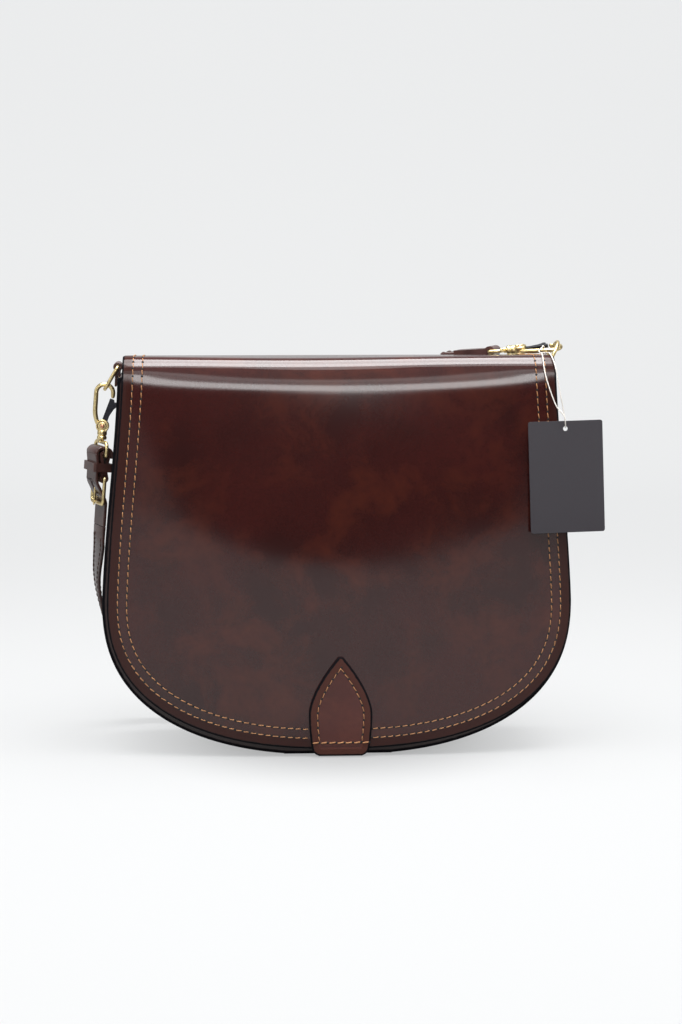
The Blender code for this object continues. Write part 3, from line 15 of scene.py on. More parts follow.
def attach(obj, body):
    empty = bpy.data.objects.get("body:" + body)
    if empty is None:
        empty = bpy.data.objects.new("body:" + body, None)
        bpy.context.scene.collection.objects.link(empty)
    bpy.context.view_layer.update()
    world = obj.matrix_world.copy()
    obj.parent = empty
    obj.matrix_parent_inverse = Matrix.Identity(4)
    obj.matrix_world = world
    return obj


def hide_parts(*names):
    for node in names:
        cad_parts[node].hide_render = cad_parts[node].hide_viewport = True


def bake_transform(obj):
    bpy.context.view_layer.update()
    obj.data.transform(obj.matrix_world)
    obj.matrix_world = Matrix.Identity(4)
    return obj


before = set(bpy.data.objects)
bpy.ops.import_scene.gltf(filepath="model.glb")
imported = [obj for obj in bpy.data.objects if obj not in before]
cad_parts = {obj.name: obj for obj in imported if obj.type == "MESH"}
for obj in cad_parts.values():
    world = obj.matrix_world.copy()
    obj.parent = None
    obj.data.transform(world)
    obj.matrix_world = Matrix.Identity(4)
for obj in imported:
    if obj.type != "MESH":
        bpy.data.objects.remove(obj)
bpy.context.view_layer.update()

log = logging.getLogger("bell_bag")

MM = 0.001
CLEARANCE = 0.3 * MM
SHARP_EDGE = math.radians(50.0)
LIFT = ("flap_top_half", "flap_front_half", (0.0, -0.036, 0.271), (0.0, -0.045, 0.262))
FOLD = ("bag_body", "flap_top_half", (0.0, 0.0155, 0.2675), (0.0, 0.012, 0.2679))

Point = tuple[float, float, float]
Colour = tuple[float, float, float]
Flat = tuple[float, float]
Line = tuple[np.ndarray, np.ndarray]
Shape = tuple[list, list]
Bend = tuple[str, str, Point, Point]
Material = bpy.types.Material
Node = bpy.types.Node
Piece = bpy.types.Object
Socket = bpy.types.NodeSocket


class Slot(Enum):
    """The record's material slots."""

    FLAP = "flap_leather"
    STRAP = "strap_leather"
    BRASS = "brass"
    STEEL = "plated_steel"
    COPPER = "copper"
    CARD = "card"
    STRING = "string"


class Side(Enum):
    """The two sides of the bag, with the sign of their X."""

    LEFT = -1
    RIGHT = 1

    @property
    def word(self) -> str:
        """The side's name as the nodes have it."""
        return self.name.lower()


# ------------------------------------------------------------------ node trees


class Tree:
    """Adds nodes to a node tree and joins them."""

    def __init__(self, tree: bpy.types.NodeTree) -> None:
        """Start on a tree."""
        self.tree = tree

    def feed(self, node: Node, sockets: dict) -> Node:
        """Set a node's inputs.

        Args:
            node: the node.
            sockets: input name or number to a value, or to an output to join.

        Returns:
            The node.
        """
        for key, value in sockets.items():
            socket = node.inputs[key]
            if isinstance(value, Socket):
                self.tree.links.new(value, socket)
            else:
                socket.default_value = (*value, 1.0) if socket.type == "RGBA" else value
        return node

    def add(self, kind: str, sockets: dict | None = None, **settings: object) -> Node:
        """Add a node.

        Args:
            kind: the node's type name.
            sockets: its inputs, as feed takes them.
            settings: properties of the node itself.

        Returns:
            The node.
        """
        node = self.tree.nodes.new(kind)
        for name, value in settings.items():
            setattr(node, name, value)
        return self.feed(node, sockets or {})

    def place(self) -> Socket:
        """The place in the object's own frame."""
        return self.add("ShaderNodeTexCoord").outputs["Object"]

    def math(self, operation: str, first: object, second: object = 0.0, third: object = 0.0) -> Socket:
        """Work with up to three numbers or sockets."""
        return self.add("ShaderNodeMath", {0: first, 1: second, 2: third}, operation=operation).outputs[0]

    def ramp(self, value: Socket, low: float, high: float, to_low: float = 0.0, to_high: float = 1.0) -> Socket:
        """Map a range of a value smoothly to another."""
        ends = {"Value": value, "From Min": low, "From Max": high, "To Min": to_low, "To Max": to_high}
        return self.add("ShaderNodeMapRange", ends, interpolation_type="SMOOTHSTEP").outputs["Result"]

    def mix(self, share: object, first: object, second: object) -> Socket:
        """Mix two colours, where a share of 0 is the first."""
        return self.add("ShaderNodeMix", {0: share, 6: first, 7: second}, data_type="RGBA").outputs[2]

    def noise(
        self, place: Socket, scale: object, detail: float = 3.0, rough: float = 0.55, warp: float = 0.0
    ) -> Socket:
        """A noise of so many waves in a metre, with its octaves' number and strength."""
        sizes = {"Vector": place, "Scale": scale, "Detail": detail, "Roughness": rough, "Distortion": warp}
        return self.add("ShaderNodeTexNoise", sizes).outputs[0]

    def bump(self, strength: float, distance: float, height: Socket, under: Socket | None = None) -> Socket:
        """The normal of a height, on top of another bump's normal if there is one."""
        sockets = {"Strength": strength, "Distance": distance, "Height": height} | ({"Normal": under} if under else {})
        return self.add("ShaderNodeBump", sockets).outputs[0]


def new_group(name: str, inputs: dict[str, float | Colour], outputs: Sequence[str]) -> tuple[Tree, dict, Node]:
    """Make a shader node group with named sockets.

    Args:
        name: the group's name.
        inputs: each input's name and default, a colour or a number.
        outputs: each output's name, where Color is a colour and the others are numbers.

    Returns:
        The group's tree, its inputs' sockets and its output node.
    """
    kinds = {True: "NodeSocketColor", False: "NodeSocketFloat"}
    group = bpy.data.node_groups.new(name, "ShaderNodeTree")
    for label, value in inputs.items():
        coloured = isinstance(value, tuple)
        socket = group.interface.new_socket(label, in_out="INPUT", socket_type=kinds[coloured])
        socket.default_value = (*value, 1.0) if coloured else value
    for label in outputs:
        group.interface.new_socket(label, in_out="OUTPUT", socket_type=kinds[label == "Color"])
    tree = Tree(group)
    return tree, tree.add("NodeGroupInput").outputs, tree.add("NodeGroupOutput")


def grain_group() -> bpy.types.NodeTree:
    """Leather grain: fine pores and a soft pebble as a height, and broad wear as a polish.

    Returns:
        The group.
    """
    sizes = {"Pore Scale": 1400.0, "Pebble Scale": 420.0, "Pebble Share": 0.5}
    tree, given, sink = new_group("leather_grain", sizes, ("Height", "Polish"))
    place = tree.place()
    cells = {"Vector": place, "Scale": given["Pore Scale"], "Randomness": 1.0}
    pores = tree.add("ShaderNodeTexVoronoi", cells, feature="DISTANCE_TO_EDGE").outputs["Distance"]
    pebble = tree.noise(place, given["Pebble Scale"], 4.0, 0.6)
    both = {0: given["Pebble Share"], 2: tree.ramp(pores, 0.0, 0.35), 3: pebble}
    height = tree.add("ShaderNodeMix", both, data_type="FLOAT").outputs[0]
    tree.feed(sink, {"Height": height, "Polish": tree.noise(place, 26.0, 4.0, 0.6)})
    return tree.tree


def mottle_group() -> bpy.types.NodeTree:
    """Hand-rubbed leather colour: broad clouds, warm patches and fine flecks.

    Returns:
        The group.
    """
    looks = {
        "Deep": (0.02, 0.01, 0.01), "Middle": (0.05, 0.02, 0.02), "Warm": (0.1, 0.03, 0.02),
        "Cloud Scale": 11.0, "Fleck": 0.3,
    }
    tree, given, sink = new_group("hand_rubbed_colour", looks, ("Color",))
    place = tree.place()
    cloud = tree.noise(place, given["Cloud Scale"], 3.0, 0.5, 0.2)
    patch_scale = tree.math("MULTIPLY", given["Cloud Scale"], 2.3)
    shifted = tree.add("ShaderNodeVectorMath", {0: place, 1: (3.7, 1.9, 5.3)}, operation="ADD").outputs[0]
    patch = tree.noise(shifted, patch_scale, 5.0, 0.6, 0.4)
    fleck = tree.ramp(tree.noise(place, 240.0, 3.0, 0.7), 0.42, 0.66)
    base = tree.mix(tree.ramp(cloud, 0.34, 0.62), given["Deep"], given["Middle"])
    warm = tree.mix(tree.ramp(patch, 0.44, 0.74, 0.0, 0.85), base, given["Warm"])
    tree.feed(sink, {"Color": tree.mix(tree.math("MULTIPLY", fleck, given["Fleck"]), warm, given["Deep"])})
    return tree.tree


def edge_group() -> bpy.types.NodeTree:
    """The worked edge of a leather: inked rim, a lighter and greyer band along the edge that is partly a painted sheen,
    and the rows that the stitches press in.

    Returns:
        The group.
    """
    looks = {
        "Color": (0.05, 0.02, 0.02), "Ink": (0.006, 0.005, 0.006), "Border": (0.07, 0.03, 0.02),
        "Ink Width": 1.2 * MM, "Border Width": 7.0 * MM, "Border Share": 0.5,
        "Row One": 7.3 * MM, "Row Two": 13.3 * MM,
    }
    tree, given, sink = new_group("worked_edge", looks, ("Color", "Height", "Raw"))
    exact = tree.add("ShaderNodeAttribute", attribute_name="edge_distance").outputs["Fac"]
    fuzz = tree.math("SUBTRACT", tree.noise(tree.place(), 320.0, 4.0, 0.7), 0.5)
    distance = tree.math("ADD", exact, tree.math("MULTIPLY", fuzz, 1.3 * MM))
    ink = tree.math("SUBTRACT", 1.0, tree.ramp(tree.math("DIVIDE", distance, given["Ink Width"]), 0.75, 1.25))
    inside = tree.ramp(tree.math("DIVIDE", distance, given["Border Width"]), 0.85, 1.1)
    # The band along the edge is lighter and greyer than the leather, partly a painted sheen.
    border = tree.math("MULTIPLY", tree.math("SUBTRACT", 1.0, inside), given["Border Share"])
    colour = tree.mix(ink, tree.mix(border, given["Color"], given["Border"]), given["Ink"])
    height = tree.math("SUBTRACT", 1.0, tree.math("MULTIPLY", ink, 0.6))
    for row in ("Row One", "Row Two"):
        off = tree.math("ABSOLUTE", tree.math("SUBTRACT", exact, given[row]))
        groove = tree.math("MULTIPLY", tree.ramp(off, 0.2 * MM, 1.3 * MM), 0.45)
        height = tree.math("MULTIPLY", height, tree.math("ADD", groove, 0.55))
    raw = tree.math("MAXIMUM", ink, tree.math("MULTIPLY", border, 0.75))
    tree.feed(sink, {"Color": colour, "Height": height, "Raw": raw})
    return tree.tree


def metal_group() -> bpy.types.NodeTree:
    """Old plated metal: tarnish in clouds, fine scratches and small pits.

    Returns:
        The group.
    """
    looks = {"Bright": (0.8, 0.6, 0.3), "Tarnish": (0.3, 0.2, 0.1), "Amount": 0.5, "Polish": 0.25}
    tree, given, sink = new_group("aged_metal", looks, ("Color", "Roughness", "Height"))
    place = tree.place()
    cloud = tree.noise(place, 190.0, 5.0, 0.65)
    stretched = tree.add("ShaderNodeMapping", {"Vector": place, "Scale": (700.0, 5200.0, 1500.0)}).outputs[0]
    amount = tree.math("MULTIPLY", tree.ramp(cloud, 0.38, 0.66), given["Amount"])
    rough = tree.math("ADD", given["Polish"], tree.math("MULTIPLY", cloud, 0.22))
    colour = tree.mix(amount, given["Bright"], given["Tarnish"])
    tree.feed(sink, {"Color": colour, "Roughness": rough, "Height": tree.noise(stretched, 1.0, 2.0, 0.5)})
    return tree.tree


class Effects:
    """The shared shader groups, each built once."""

    def __init__(self) -> None:
        """Build the groups."""
        self.grain, self.mottle = grain_group(), mottle_group()
        self.edge, self.metal = edge_group(), metal_group()


def start_material(name: str) -> tuple[Material, Tree, Node]:
    """Make a material with its Principled shader.

    Args:
        name: the material's name.

    Returns:
        The material, its tree and the shader.
    """
    material = bpy.data.materials.new(name)
    material.use_nodes = True
    return material, Tree(material.node_tree), material.node_tree.nodes["Principled BSDF"]


@dataclass(frozen=True)
class Leather:
    """A leather finish."""

    name: str
    deep: Colour
    middle: Colour
    warm: Colour
    # colour of the band along the edge, partly a painted sheen
    border: Colour = (0.031, 0.0082, 0.0056)
    ink: Colour = (0.0045, 0.004, 0.0055)
    ink_width: float = 1.3 * MM
    border_width: float = 7.0 * MM
    border_share: float = 0.75
    rows: Flat = (7.3 * MM, 13.3 * MM)
    cloud: float = 11.0
    fleck: float = 0.25
    rough: float = 0.50
    sheen: float = 0.06
    coat: float = 1.0
    coat_rough: float = 0.10
    coat_ior: float = 1.6
    grain: float = 0.12
    worked: bool = True

    def make(self, effects: Effects) -> Material:
        """Build the material.

        Args:
            effects: the shared groups.

        Returns:
            The material.
        """
        material, tree, shader = start_material(self.name)
        grain = tree.add("ShaderNodeGroup", node_tree=effects.grain).outputs
        clouds = {"Cloud Scale": self.cloud, "Fleck": self.fleck}
        colours = {"Deep": self.deep, "Middle": self.middle, "Warm": self.warm} | clouds
        colour = tree.add("ShaderNodeGroup", colours, node_tree=effects.mottle).outputs["Color"]
        rough = tree.ramp(grain["Polish"], 0.3, 0.7, self.rough - 0.06, self.rough + 0.08)
        normal = tree.bump(self.grain, 0.15 * MM, grain["Height"])
        polish = tree.math("MULTIPLY_ADD", grain["Height"], 0.4 * self.coat, 0.72 * self.coat)
        if self.worked:
            edging = {
                "Color": colour, "Ink": self.ink, "Border": self.border, "Ink Width": self.ink_width,
                "Border Width": self.border_width, "Border Share": self.border_share,
                "Row One": self.rows[0], "Row Two": self.rows[1],
            }
            edge = tree.add("ShaderNodeGroup", edging, node_tree=effects.edge).outputs
            colour = edge["Color"]
            rough = tree.math("ADD", rough, tree.math("MULTIPLY", edge["Raw"], 0.25))
            normal = tree.bump(0.8, 0.7 * MM, edge["Height"], normal)
            polish = tree.math("MULTIPLY", polish, tree.math("SUBTRACT", 1.0, edge["Raw"]))
        tree.feed(shader, {
            "Base Color": colour, "Roughness": rough, "Normal": normal, "Coat Weight": polish,
            "Coat Roughness": self.coat_rough, "Coat IOR": self.coat_ior, "Specular IOR Level": self.sheen,
        })
        return material


@dataclass(frozen=True)
class Metal:
    """A plated or solid metal finish."""

    name: str
    bright: Colour
    tarnish: Colour
    amount: float = 0.6
    polish: float = 0.20
    scratches: float = 0.05

    def make(self, effects: Effects) -> Material:
        """Build the material.

        Args:
            effects: the shared groups.

        Returns:
            The material.
        """
        material, tree, shader = start_material(self.name)
        looks = {"Bright": self.bright, "Tarnish": self.tarnish, "Amount": self.amount, "Polish": self.polish}
        aged = tree.add("ShaderNodeGroup", looks, node_tree=effects.metal).outputs
        normal = tree.bump(self.scratches, 0.05 * MM, aged["Height"])
        tree.feed(shader, {
            "Base Color": aged["Color"], "Roughness": aged["Roughness"], "Normal": normal, "Metallic": 1.0,
        })
        return material


@dataclass(frozen=True)
class Thread:
    """Waxed thread or cotton string, with its twist along the length."""

    name: str
    light: Colour
    dark: Colour
    twist: float = 900.0
    rough: float = 0.6

    def make(self) -> Material:
        """Build the material.

        Returns:
            The material.
        """
        material, tree, shader = start_material(self.name)
        place = tree.place()
        twist = {"Vector": place, "Scale": self.twist, "Distortion": 2.0, "Detail": 1.0}
        wave = tree.add("ShaderNodeTexWave", twist, bands_direction="DIAGONAL").outputs["Fac"]
        wear = tree.ramp(tree.noise(place, 150.0), 0.35, 0.75, 0.0, 0.45)
        colour = tree.mix(wear, tree.mix(wave, self.dark, self.light), self.dark)
        tree.feed(shader, {"Base Color": colour, "Normal": tree.bump(0.4, 0.1 * MM, wave), "Roughness": self.rough})
        return material


@dataclass(frozen=True)
class Card:
    """Smooth dark card with a faint fibre."""

    name: str
    face: Colour
    fibre: Colour
    rough: float = 0.42

    def make(self) -> Material:
        """Build the material.

        Returns:
            The material.
        """
        material, tree, shader = start_material(self.name)
        place = tree.place()
        fibre = tree.noise(place, 900.0, 4.0, 0.7)
        colour = tree.mix(tree.ramp(fibre, 0.45, 0.75, 0.0, 0.5), self.face, self.fibre)
        rough = tree.ramp(tree.noise(place, 18.0, 2.0), 0.3, 0.7, self.rough - 0.04, self.rough + 0.06)
        tree.feed(shader, {"Base Color": colour, "Roughness": rough, "Normal": tree.bump(0.12, 0.05 * MM, fibre)})
        return material


class Finishes:
    """Every finish of the bag, made once."""

    def __init__(self, effects: Effects) -> None:
        """Make the materials.

        Args:
            effects: the shared groups.
        """
        hidden_row = 60.0 * MM
        self.flap = Leather(
            "flap_leather",
            deep=(0.0210, 0.0030, 0.0026), middle=(0.0345, 0.0046, 0.0036), warm=(0.0590, 0.0105, 0.0050),
        ).make(effects)
        self.tab = Leather(
            "tab_leather",
            deep=(0.050, 0.0105, 0.0080), middle=(0.072, 0.0160, 0.0120), warm=(0.095, 0.0220, 0.0130),
            # The tab's band along its edge is greyer and lighter than its middle, partly a painted sheen.
            border=(0.066, 0.0230, 0.0160), border_width=5.5 * MM, ink_width=1.25 * MM,
            rows=(6.0 * MM, hidden_row), coat=0.7,
        ).make(effects)
        self.panel = Leather(
            "panel_leather",
            deep=(0.010, 0.0035, 0.0030), middle=(0.020, 0.0060, 0.0048), warm=(0.034, 0.0090, 0.0060),
            ink_width=2.2 * MM, rows=(5.0 * MM, hidden_row), border_share=0.3,
        ).make(effects)
        self.gusset = Leather(
            "gusset_leather",
            deep=(0.012, 0.0040, 0.0033), middle=(0.024, 0.0070, 0.0055), warm=(0.040, 0.0110, 0.0070),
            worked=False, coat=0.6,
        ).make(effects)
        self.strap = Leather(
            "strap_leather",
            deep=(0.034, 0.0140, 0.0125), middle=(0.062, 0.0260, 0.0225), warm=(0.082, 0.0320, 0.0260),
            worked=False, cloud=40.0, coat=0.8, coat_rough=0.2,
        ).make(effects)
        self.brass = Metal("old_brass", (0.86, 0.70, 0.36), (0.50, 0.37, 0.17), 0.55).make(effects)
        self.steel = Metal("dark_plated_steel", (0.055, 0.055, 0.065), (0.015, 0.015, 0.02)).make(effects)
        self.copper = Metal("copper", (0.83, 0.42, 0.27), (0.45, 0.20, 0.11), 0.4).make(effects)
        self.thread = Thread("stitch_thread", (0.52, 0.250, 0.100), (0.27, 0.115, 0.045)).make()
        self.dark_thread = Thread("dark_thread", (0.085, 0.036, 0.024), (0.040, 0.017, 0.012)).make()
        self.string = Thread("cotton_string", (0.86, 0.83, 0.78), (0.62, 0.58, 0.53), 1400.0, 0.8).make()
        self.card = Card("tag_card", (0.024, 0.020, 0.026), (0.031, 0.027, 0.033)).make()
        # Near-black finish of the stitch-hole domes: painted shade standing for the holes' recess.
        self.hole = Card("stitch_hole_shade", (0.006, 0.004, 0.004), (0.004, 0.003, 0.003), 0.8).make()


# ------------------------------------------------------------------ mesh helpers


def add_mesh(name: str, shape: Shape, material: Material, closed: bool = True, sharp: bool = False) -> Piece:
    """Make a smooth mesh object at the origin.

    Args:
        name: the piece's name.
        shape: its points, in metres in the bag's frame, and its faces.
        material: the finish.
        closed: whether it has an inside, which its faces are turned away from.
        sharp: whether its sharp edges show as such.

    Returns:
        The object.
    """
    mesh = bpy.data.meshes.new(name)
    verts, faces = shape
    mesh.from_pydata([tuple(map(float, v)) for v in verts], [], [tuple(map(int, f)) for f in faces])
    mesh.polygons.foreach_set("use_smooth", [True] * len(mesh.polygons))
    mesh.materials.append(material)
    mesh.update()
    piece = bpy.data.objects.new(name, mesh)
    bpy.context.scene.collection.objects.link(piece)
    if closed:
        turning = bmesh.new()
        turning.from_mesh(mesh)
        bmesh.ops.recalc_face_normals(turning, faces=turning.faces)
        turning.to_mesh(mesh)
        turning.free()
    if sharp:
        mesh.set_sharp_from_angle(angle=SHARP_EDGE)
    return piece


def arc_points(centre: Flat, radius: float, start: float, end: float, count: int) -> list[Flat]:
    """Points on an arc in a plane, both ends included, with angles in radians."""
    angles = [start + (end - start) * i / count for i in range(count + 1)]
    return [(centre[0] + radius * math.cos(a), centre[1] + radius * math.sin(a)) for a in angles]


def line_points(first: Flat, last: Flat, count: int) -> list[Flat]:
    """Evenly spaced points on a straight line, both ends included."""
    way = (last[0] - first[0], last[1] - first[1])
    return [(first[0] + way[0] * i / count, first[1] + way[1] * i / count) for i in range(count + 1)]


def frame_loop(half: float, top: float, low: float, top_corner: float, low_corner: float) -> list[Flat]:
    """A wire frame's middle line, with points all along its straight sides.

    Args:
        half: half of its width.
        top: where its upper bar is.
        low: where its lower bar is.
        top_corner: the radius of its upper corners.
        low_corner: the radius of its lower corners.

    Returns:
        Its points, once round.
    """
    high, deep = top - top_corner, low + low_corner
    spots: list[Flat] = []
    for centre, radius, start in (
        ((half - top_corner, high), top_corner, 0.5), ((half - low_corner, deep), low_corner, 0.0),
        ((low_corner - half, deep), low_corner, -0.5), ((top_corner - half, high), top_corner, -1.0),
    ):
        spots += arc_points(centre, radius, start * math.pi, (start - 0.5) * math.pi, 10)
    loop: list[Flat] = []
    for before, after in zip(spots, spots[1:] + spots[:1]):
        loop += line_points(before, after, max(1, round(math.dist(before, after) / (1.5 * MM))))[:-1]
    return loop


def knotted_route(knots: Sequence, spacing: float) -> list[Vector]:
    """Points on a smooth curve that keeps every knot.

    Args:
        knots: the points that it passes through.
        spacing: about how far apart its points are.

    Returns:
        The points.
    """
    places = [Vector(k) for k in knots]
    ends = [places[0] * 2 - places[1], *places, places[-1] * 2 - places[-2]]
    route = []
    for a, b, c, d in zip(ends, ends[1:], ends[2:], ends[3:]):
        length = (c - b).length
        steps = max(1, round(length / spacing))
        before, after = (c - a).normalized() * length, (d - b).normalized() * length
        for k in range(steps):
            t = k / steps
            route.append(
                b * (2 * t**3 - 3 * t**2 + 1) + before * (t**3 - 2 * t**2 + t)
                + c * (3 * t**2 - 2 * t**3) + after * (t**3 - t**2)
            )
    route.append(places[-1])
    return route


def route_length(route: Sequence[Vector]) -> float:
    """Length along a route."""
    return sum((b - a).length for a, b in zip(route, route[1:]))


def run_along(line: np.ndarray) -> np.ndarray:
    """How far along a line each of its points is."""
    return np.concatenate([[0.0], np.cumsum(np.linalg.norm(np.diff(line, axis=0), axis=1))])


def evenly(line: np.ndarray, count: int) -> np.ndarray:
    """The same flat line in evenly spaced points.

    Args:
        line: its points.
        count: how many it gets.

    Returns:
        The new points.
    """
    length = run_along(line)
    spots = np.linspace(0.0, length[-1], count)
    return np.stack([np.interp(spots, length, line[:, 0]), np.interp(spots, length, line[:, 1])], axis=-1)


def beside(line: np.ndarray) -> np.ndarray:
    """The unit vector square to a flat line at each of its points.

    Args:
        line: its points.

    Returns:
        The vectors.
    """
    along = np.gradient(line, axis=0)
    along /= np.linalg.norm(along, axis=1, keepdims=True)
    return np.stack([along[:, 1], -along[:, 0]], axis=-1)


def skin(rings: int, size: int) -> list[tuple[int, ...]]:
    """The quads between each ring of points and the next."""
    quads = [(r * size, k, (k + 1) % size) for r in range(rings - 1) for k in range(size)]
    return [(row + k, row + n, row + size + n, row + size + k) for row, k, n in quads]


def tube(points: Sequence[Vector], radii: float | Sequence[float], sides: int = 14, closed: bool = False) -> Shape:
    """A round tube along a route, with domed ends where it is open.

    Args:
        points: the middle line.
        radii: one radius, or one for each point.
        sides: points round it.
        closed: whether the route is a ring.

    Returns:
        Points and faces.
    """
    count = len(points)
    sizes = [radii] * count if isinstance(radii, (int, float)) else list(radii)
    tangents = []
    for i, place in enumerate(points):
        before = points[i - 1] if i > 0 or closed else place
        after = points[(i + 1) % count] if i < count - 1 or closed else place
        tangents.append((Vector(after) - Vector(before)).normalized())
    guide = Vector((0.13, 0.31, 0.94))
    if abs(guide.dot(tangents[0])) > 0.9:
        guide = Vector((0.94, 0.1, 0.2))
    across = (guide - tangents[0] * guide.dot(tangents[0])).normalized()
    angles = [2 * math.pi * k / sides for k in range(sides)]
    rings: list[list[Vector]] = []
    for place, along, size in zip(points, tangents, sizes):
        across = (across - along * across.dot(along)).normalized()
        other = along.cross(across)
        rings.append([Vector(place) + (across * math.cos(a) + other * math.sin(a)) * size for a in angles])
    if closed:
        first, last = rings[0], rings[-1]
        turn = min(range(sides), key=lambda k: (last[k] - first[0]).length)
        rings.append([first[(i - turn) % sides] for i in range(sides)])
    verts = [v for ring in rings for v in ring]
    faces = skin(len(rings), sides)
    if closed:
        return verts, faces
    for start, end, way in ((0, 0, -tangents[0]), ((count - 1) * sides, -1, tangents[-1])):
        place, size, inner = Vector(points[end]), sizes[end], len(verts)
        verts += [place + (verts[start + k] - place) * 0.7 + way * size * 0.45 for k in range(sides)]
        tip = len(verts)
        verts.append(place + way * size * 0.6)
        for k in range(sides):
            n = (k + 1) % sides
            for face in ((start + n, start + k, inner + k, inner + n), (inner + n, inner + k, tip)):
                faces.append(face[::-1] if start else face)
    return verts, faces


def turned(profile: Sequence[Flat], turn: Matrix, steps: int = 28) -> Shape:
    """A turned solid from a profile that starts and ends on its axis.

    Args:
        profile: radius and height of each point, the ends with radius 0.
        turn: the matrix from the profile's Z axis to the bag's frame.
        steps: points round it.

    Returns:
        Points and faces.
    """
    verts = [turn @ Vector((0.0, 0.0, profile[0][1]))]
    inner = profile[1:-1]
    angles = [2 * math.pi * k / steps for k in range(steps)]
    for radius, height in inner:
        verts += [turn @ Vector((radius * math.cos(a), radius * math.sin(a), height)) for a in angles]
    verts.append(turn @ Vector((0.0, 0.0, profile[-1][1])))
    faces: list[tuple[int, ...]] = []
    last = 1 + (len(inner) - 1) * steps
    for k in range(steps):
        n = (k + 1) % steps
        faces.append((0, 1 + k, 1 + n))
        for low in range(1, last, steps):
            faces.append((low + n, low + k, low + steps + k, low + steps + n))
        faces.append((len(verts) - 1, last + n, last + k))
    return verts, faces


def merge_shapes(shapes: Sequence[Shape]) -> Shape:
    """Put several shapes into one.

    Args:
        shapes: points and faces of each.

    Returns:
        The points and faces of all.
    """
    verts: list = []
    faces: list = []
    for points, loops in shapes:
        faces += [tuple(len(verts) + i for i in loop) for loop in loops]
        verts += list(points)
    return verts, faces


def rounded_turn(profile: Sequence[Flat], radius: float) -> list[Flat]:
    """Round the corners of a turned profile.

    Args:
        profile: radius and height of each point.
        radius: how far from a corner the rounding starts.

    Returns:
        The profile with its inner corners rounded.
    """
    done = [profile[0]]
    for before, corner, after in zip(profile, profile[1:], profile[2:]):
        a, c, b = Vector(before), Vector(corner), Vector(after)
        reach = min(radius, (a - c).length * 0.45, (b - c).length * 0.45)
        start, end = c + (a - c).normalized() * reach, c + (b - c).normalized() * reach
        for t in (0.0, 1 / 3, 2 / 3, 1.0):
            done.append(tuple(start * (1 - t) ** 2 + c * 2 * t * (1 - t) + end * t**2))
    done.append(profile[-1])
    return done


def refined_copy(node: str, name: str, material: Material, width: float) -> Piece:
    """A merged copy of a node, with its edges rounded.

    Args:
        node: the CAD node.
        name: the new piece's name.
        material: its finish.
        width: how wide the edges are rounded, in metres.

    Returns:
        The new piece.
    """
    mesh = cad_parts[node].data.copy()
    mesh.name = name
    shape = bmesh.new()
    shape.from_mesh(mesh)
    bmesh.ops.remove_doubles(shape, verts=shape.verts, dist=0.01 * MM)
    bmesh.ops.dissolve_limit(shape, angle_limit=math.radians(1.0), verts=shape.verts, edges=shape.edges)
    bmesh.ops.recalc_face_normals(shape, faces=shape.faces)
    shape.to_mesh(mesh)
    shape.free()
    mesh.materials.clear()
    mesh.materials.append(material)
    piece = bpy.data.objects.new(name, mesh)
    bpy.context.scene.collection.objects.link(piece)
    bevel = piece.modifiers.new("edges", "BEVEL")
    bevel.width, bevel.segments, bevel.use_clamp_overlap = width, 3, True
    bevel.limit_method, bevel.angle_limit = "ANGLE", math.radians(35.0)
    mesh.shade_smooth()
    flats = piece.modifiers.new("flats", "WEIGHTED_NORMAL")
    flats.mode, flats.weight = "FACE_AREA", 100
    return settle(piece)


def settle(piece: Piece) -> Piece:
    """Turn a piece's modifiers into plain mesh.

    Args:
        piece: the piece.

    Returns:
        The same piece, without modifiers.
    """
    graph = bpy.context.evaluated_depsgraph_get()
    done = bpy.data.meshes.new_from_object(piece.evaluated_get(graph), depsgraph=graph)
    piece.modifiers.clear()
    done.name = piece.name
    piece.data = done
    return piece


def hand_over(piece: Piece, moves: str | Bend, slot: Slot, *nodes: str) -> Piece:
    """Attach a piece to the body it rides on, or fix its place where it bends between two, and hide the nodes it stands
    for.

    Args:
        piece: the piece.
        moves: the body it rides on, or the two that it bends between and where it does.
        slot: the record's material slot; not used.
        nodes: the nodes it replaces.

    Returns:
        The piece.
    """
    rigid = isinstance(moves, str)
    if rigid:
        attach(piece, moves)
    else:
        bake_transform(piece)
    if nodes:
        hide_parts(*nodes)
    log.info("%s: %d points on %s", piece.name, len(piece.data.vertices), moves if rigid else moves[:2])
    return piece


# ------------------------------------------------------------------ the bag's lasting sizes

BODY_TOP = 256.0 * MM
BODY_BELLY_HEIGHT = 104.0 * MM
BELL_POWER = 2.4
BACK_Y = 42.0 * MM
FRONT_Y = -42.0 * MM
FLAP_Y = FRONT_Y - 6.4 * MM
FLAP_TOP = 270.0 * MM
FLAP_SHIFT = 1.2 * MM
TOP_SLOPE = math.radians(2.9)
TOP_LEVEL_Y = -30.0 * MM
FOLD_LINE_Y = 12.0 * MM
BULGE_HALF = 165.0 * MM


@dataclass(frozen=True)
class Bell:
    """The bell outline: straight flared sides and a rounded bottom."""

    top: float
    top_half: float
    belly_half: float
    bottom: float

    def half_width(self, z: float) -> float:
        """Half of the width at a height.

        Args:
            z: the height.

        Returns:
            The half width.
        """
        if z >= BODY_BELLY_HEIGHT:
            u = (z - BODY_BELLY_HEIGHT) / (self.top - BODY_BELLY_HEIGHT)
            return self.belly_half + (self.top_half - self.belly_half) * (u + u * u * (3.0 - 2.0 * u)) / 2.0
        t = min(1.0, (BODY_BELLY_HEIGHT - z) / (BODY_BELLY_HEIGHT - self.bottom))
        return self.belly_half * max(0.0, 1.0 - t**BELL_POWER) ** (1.0 / BELL_POWER)


BODY = Bell(BODY_TOP, 147.0 * MM, 159.0 * MM, -1.0 * MM)
FLAP = Bell(FLAP_TOP, 144.5 * MM, 156.8 * MM, 5.0 * MM)


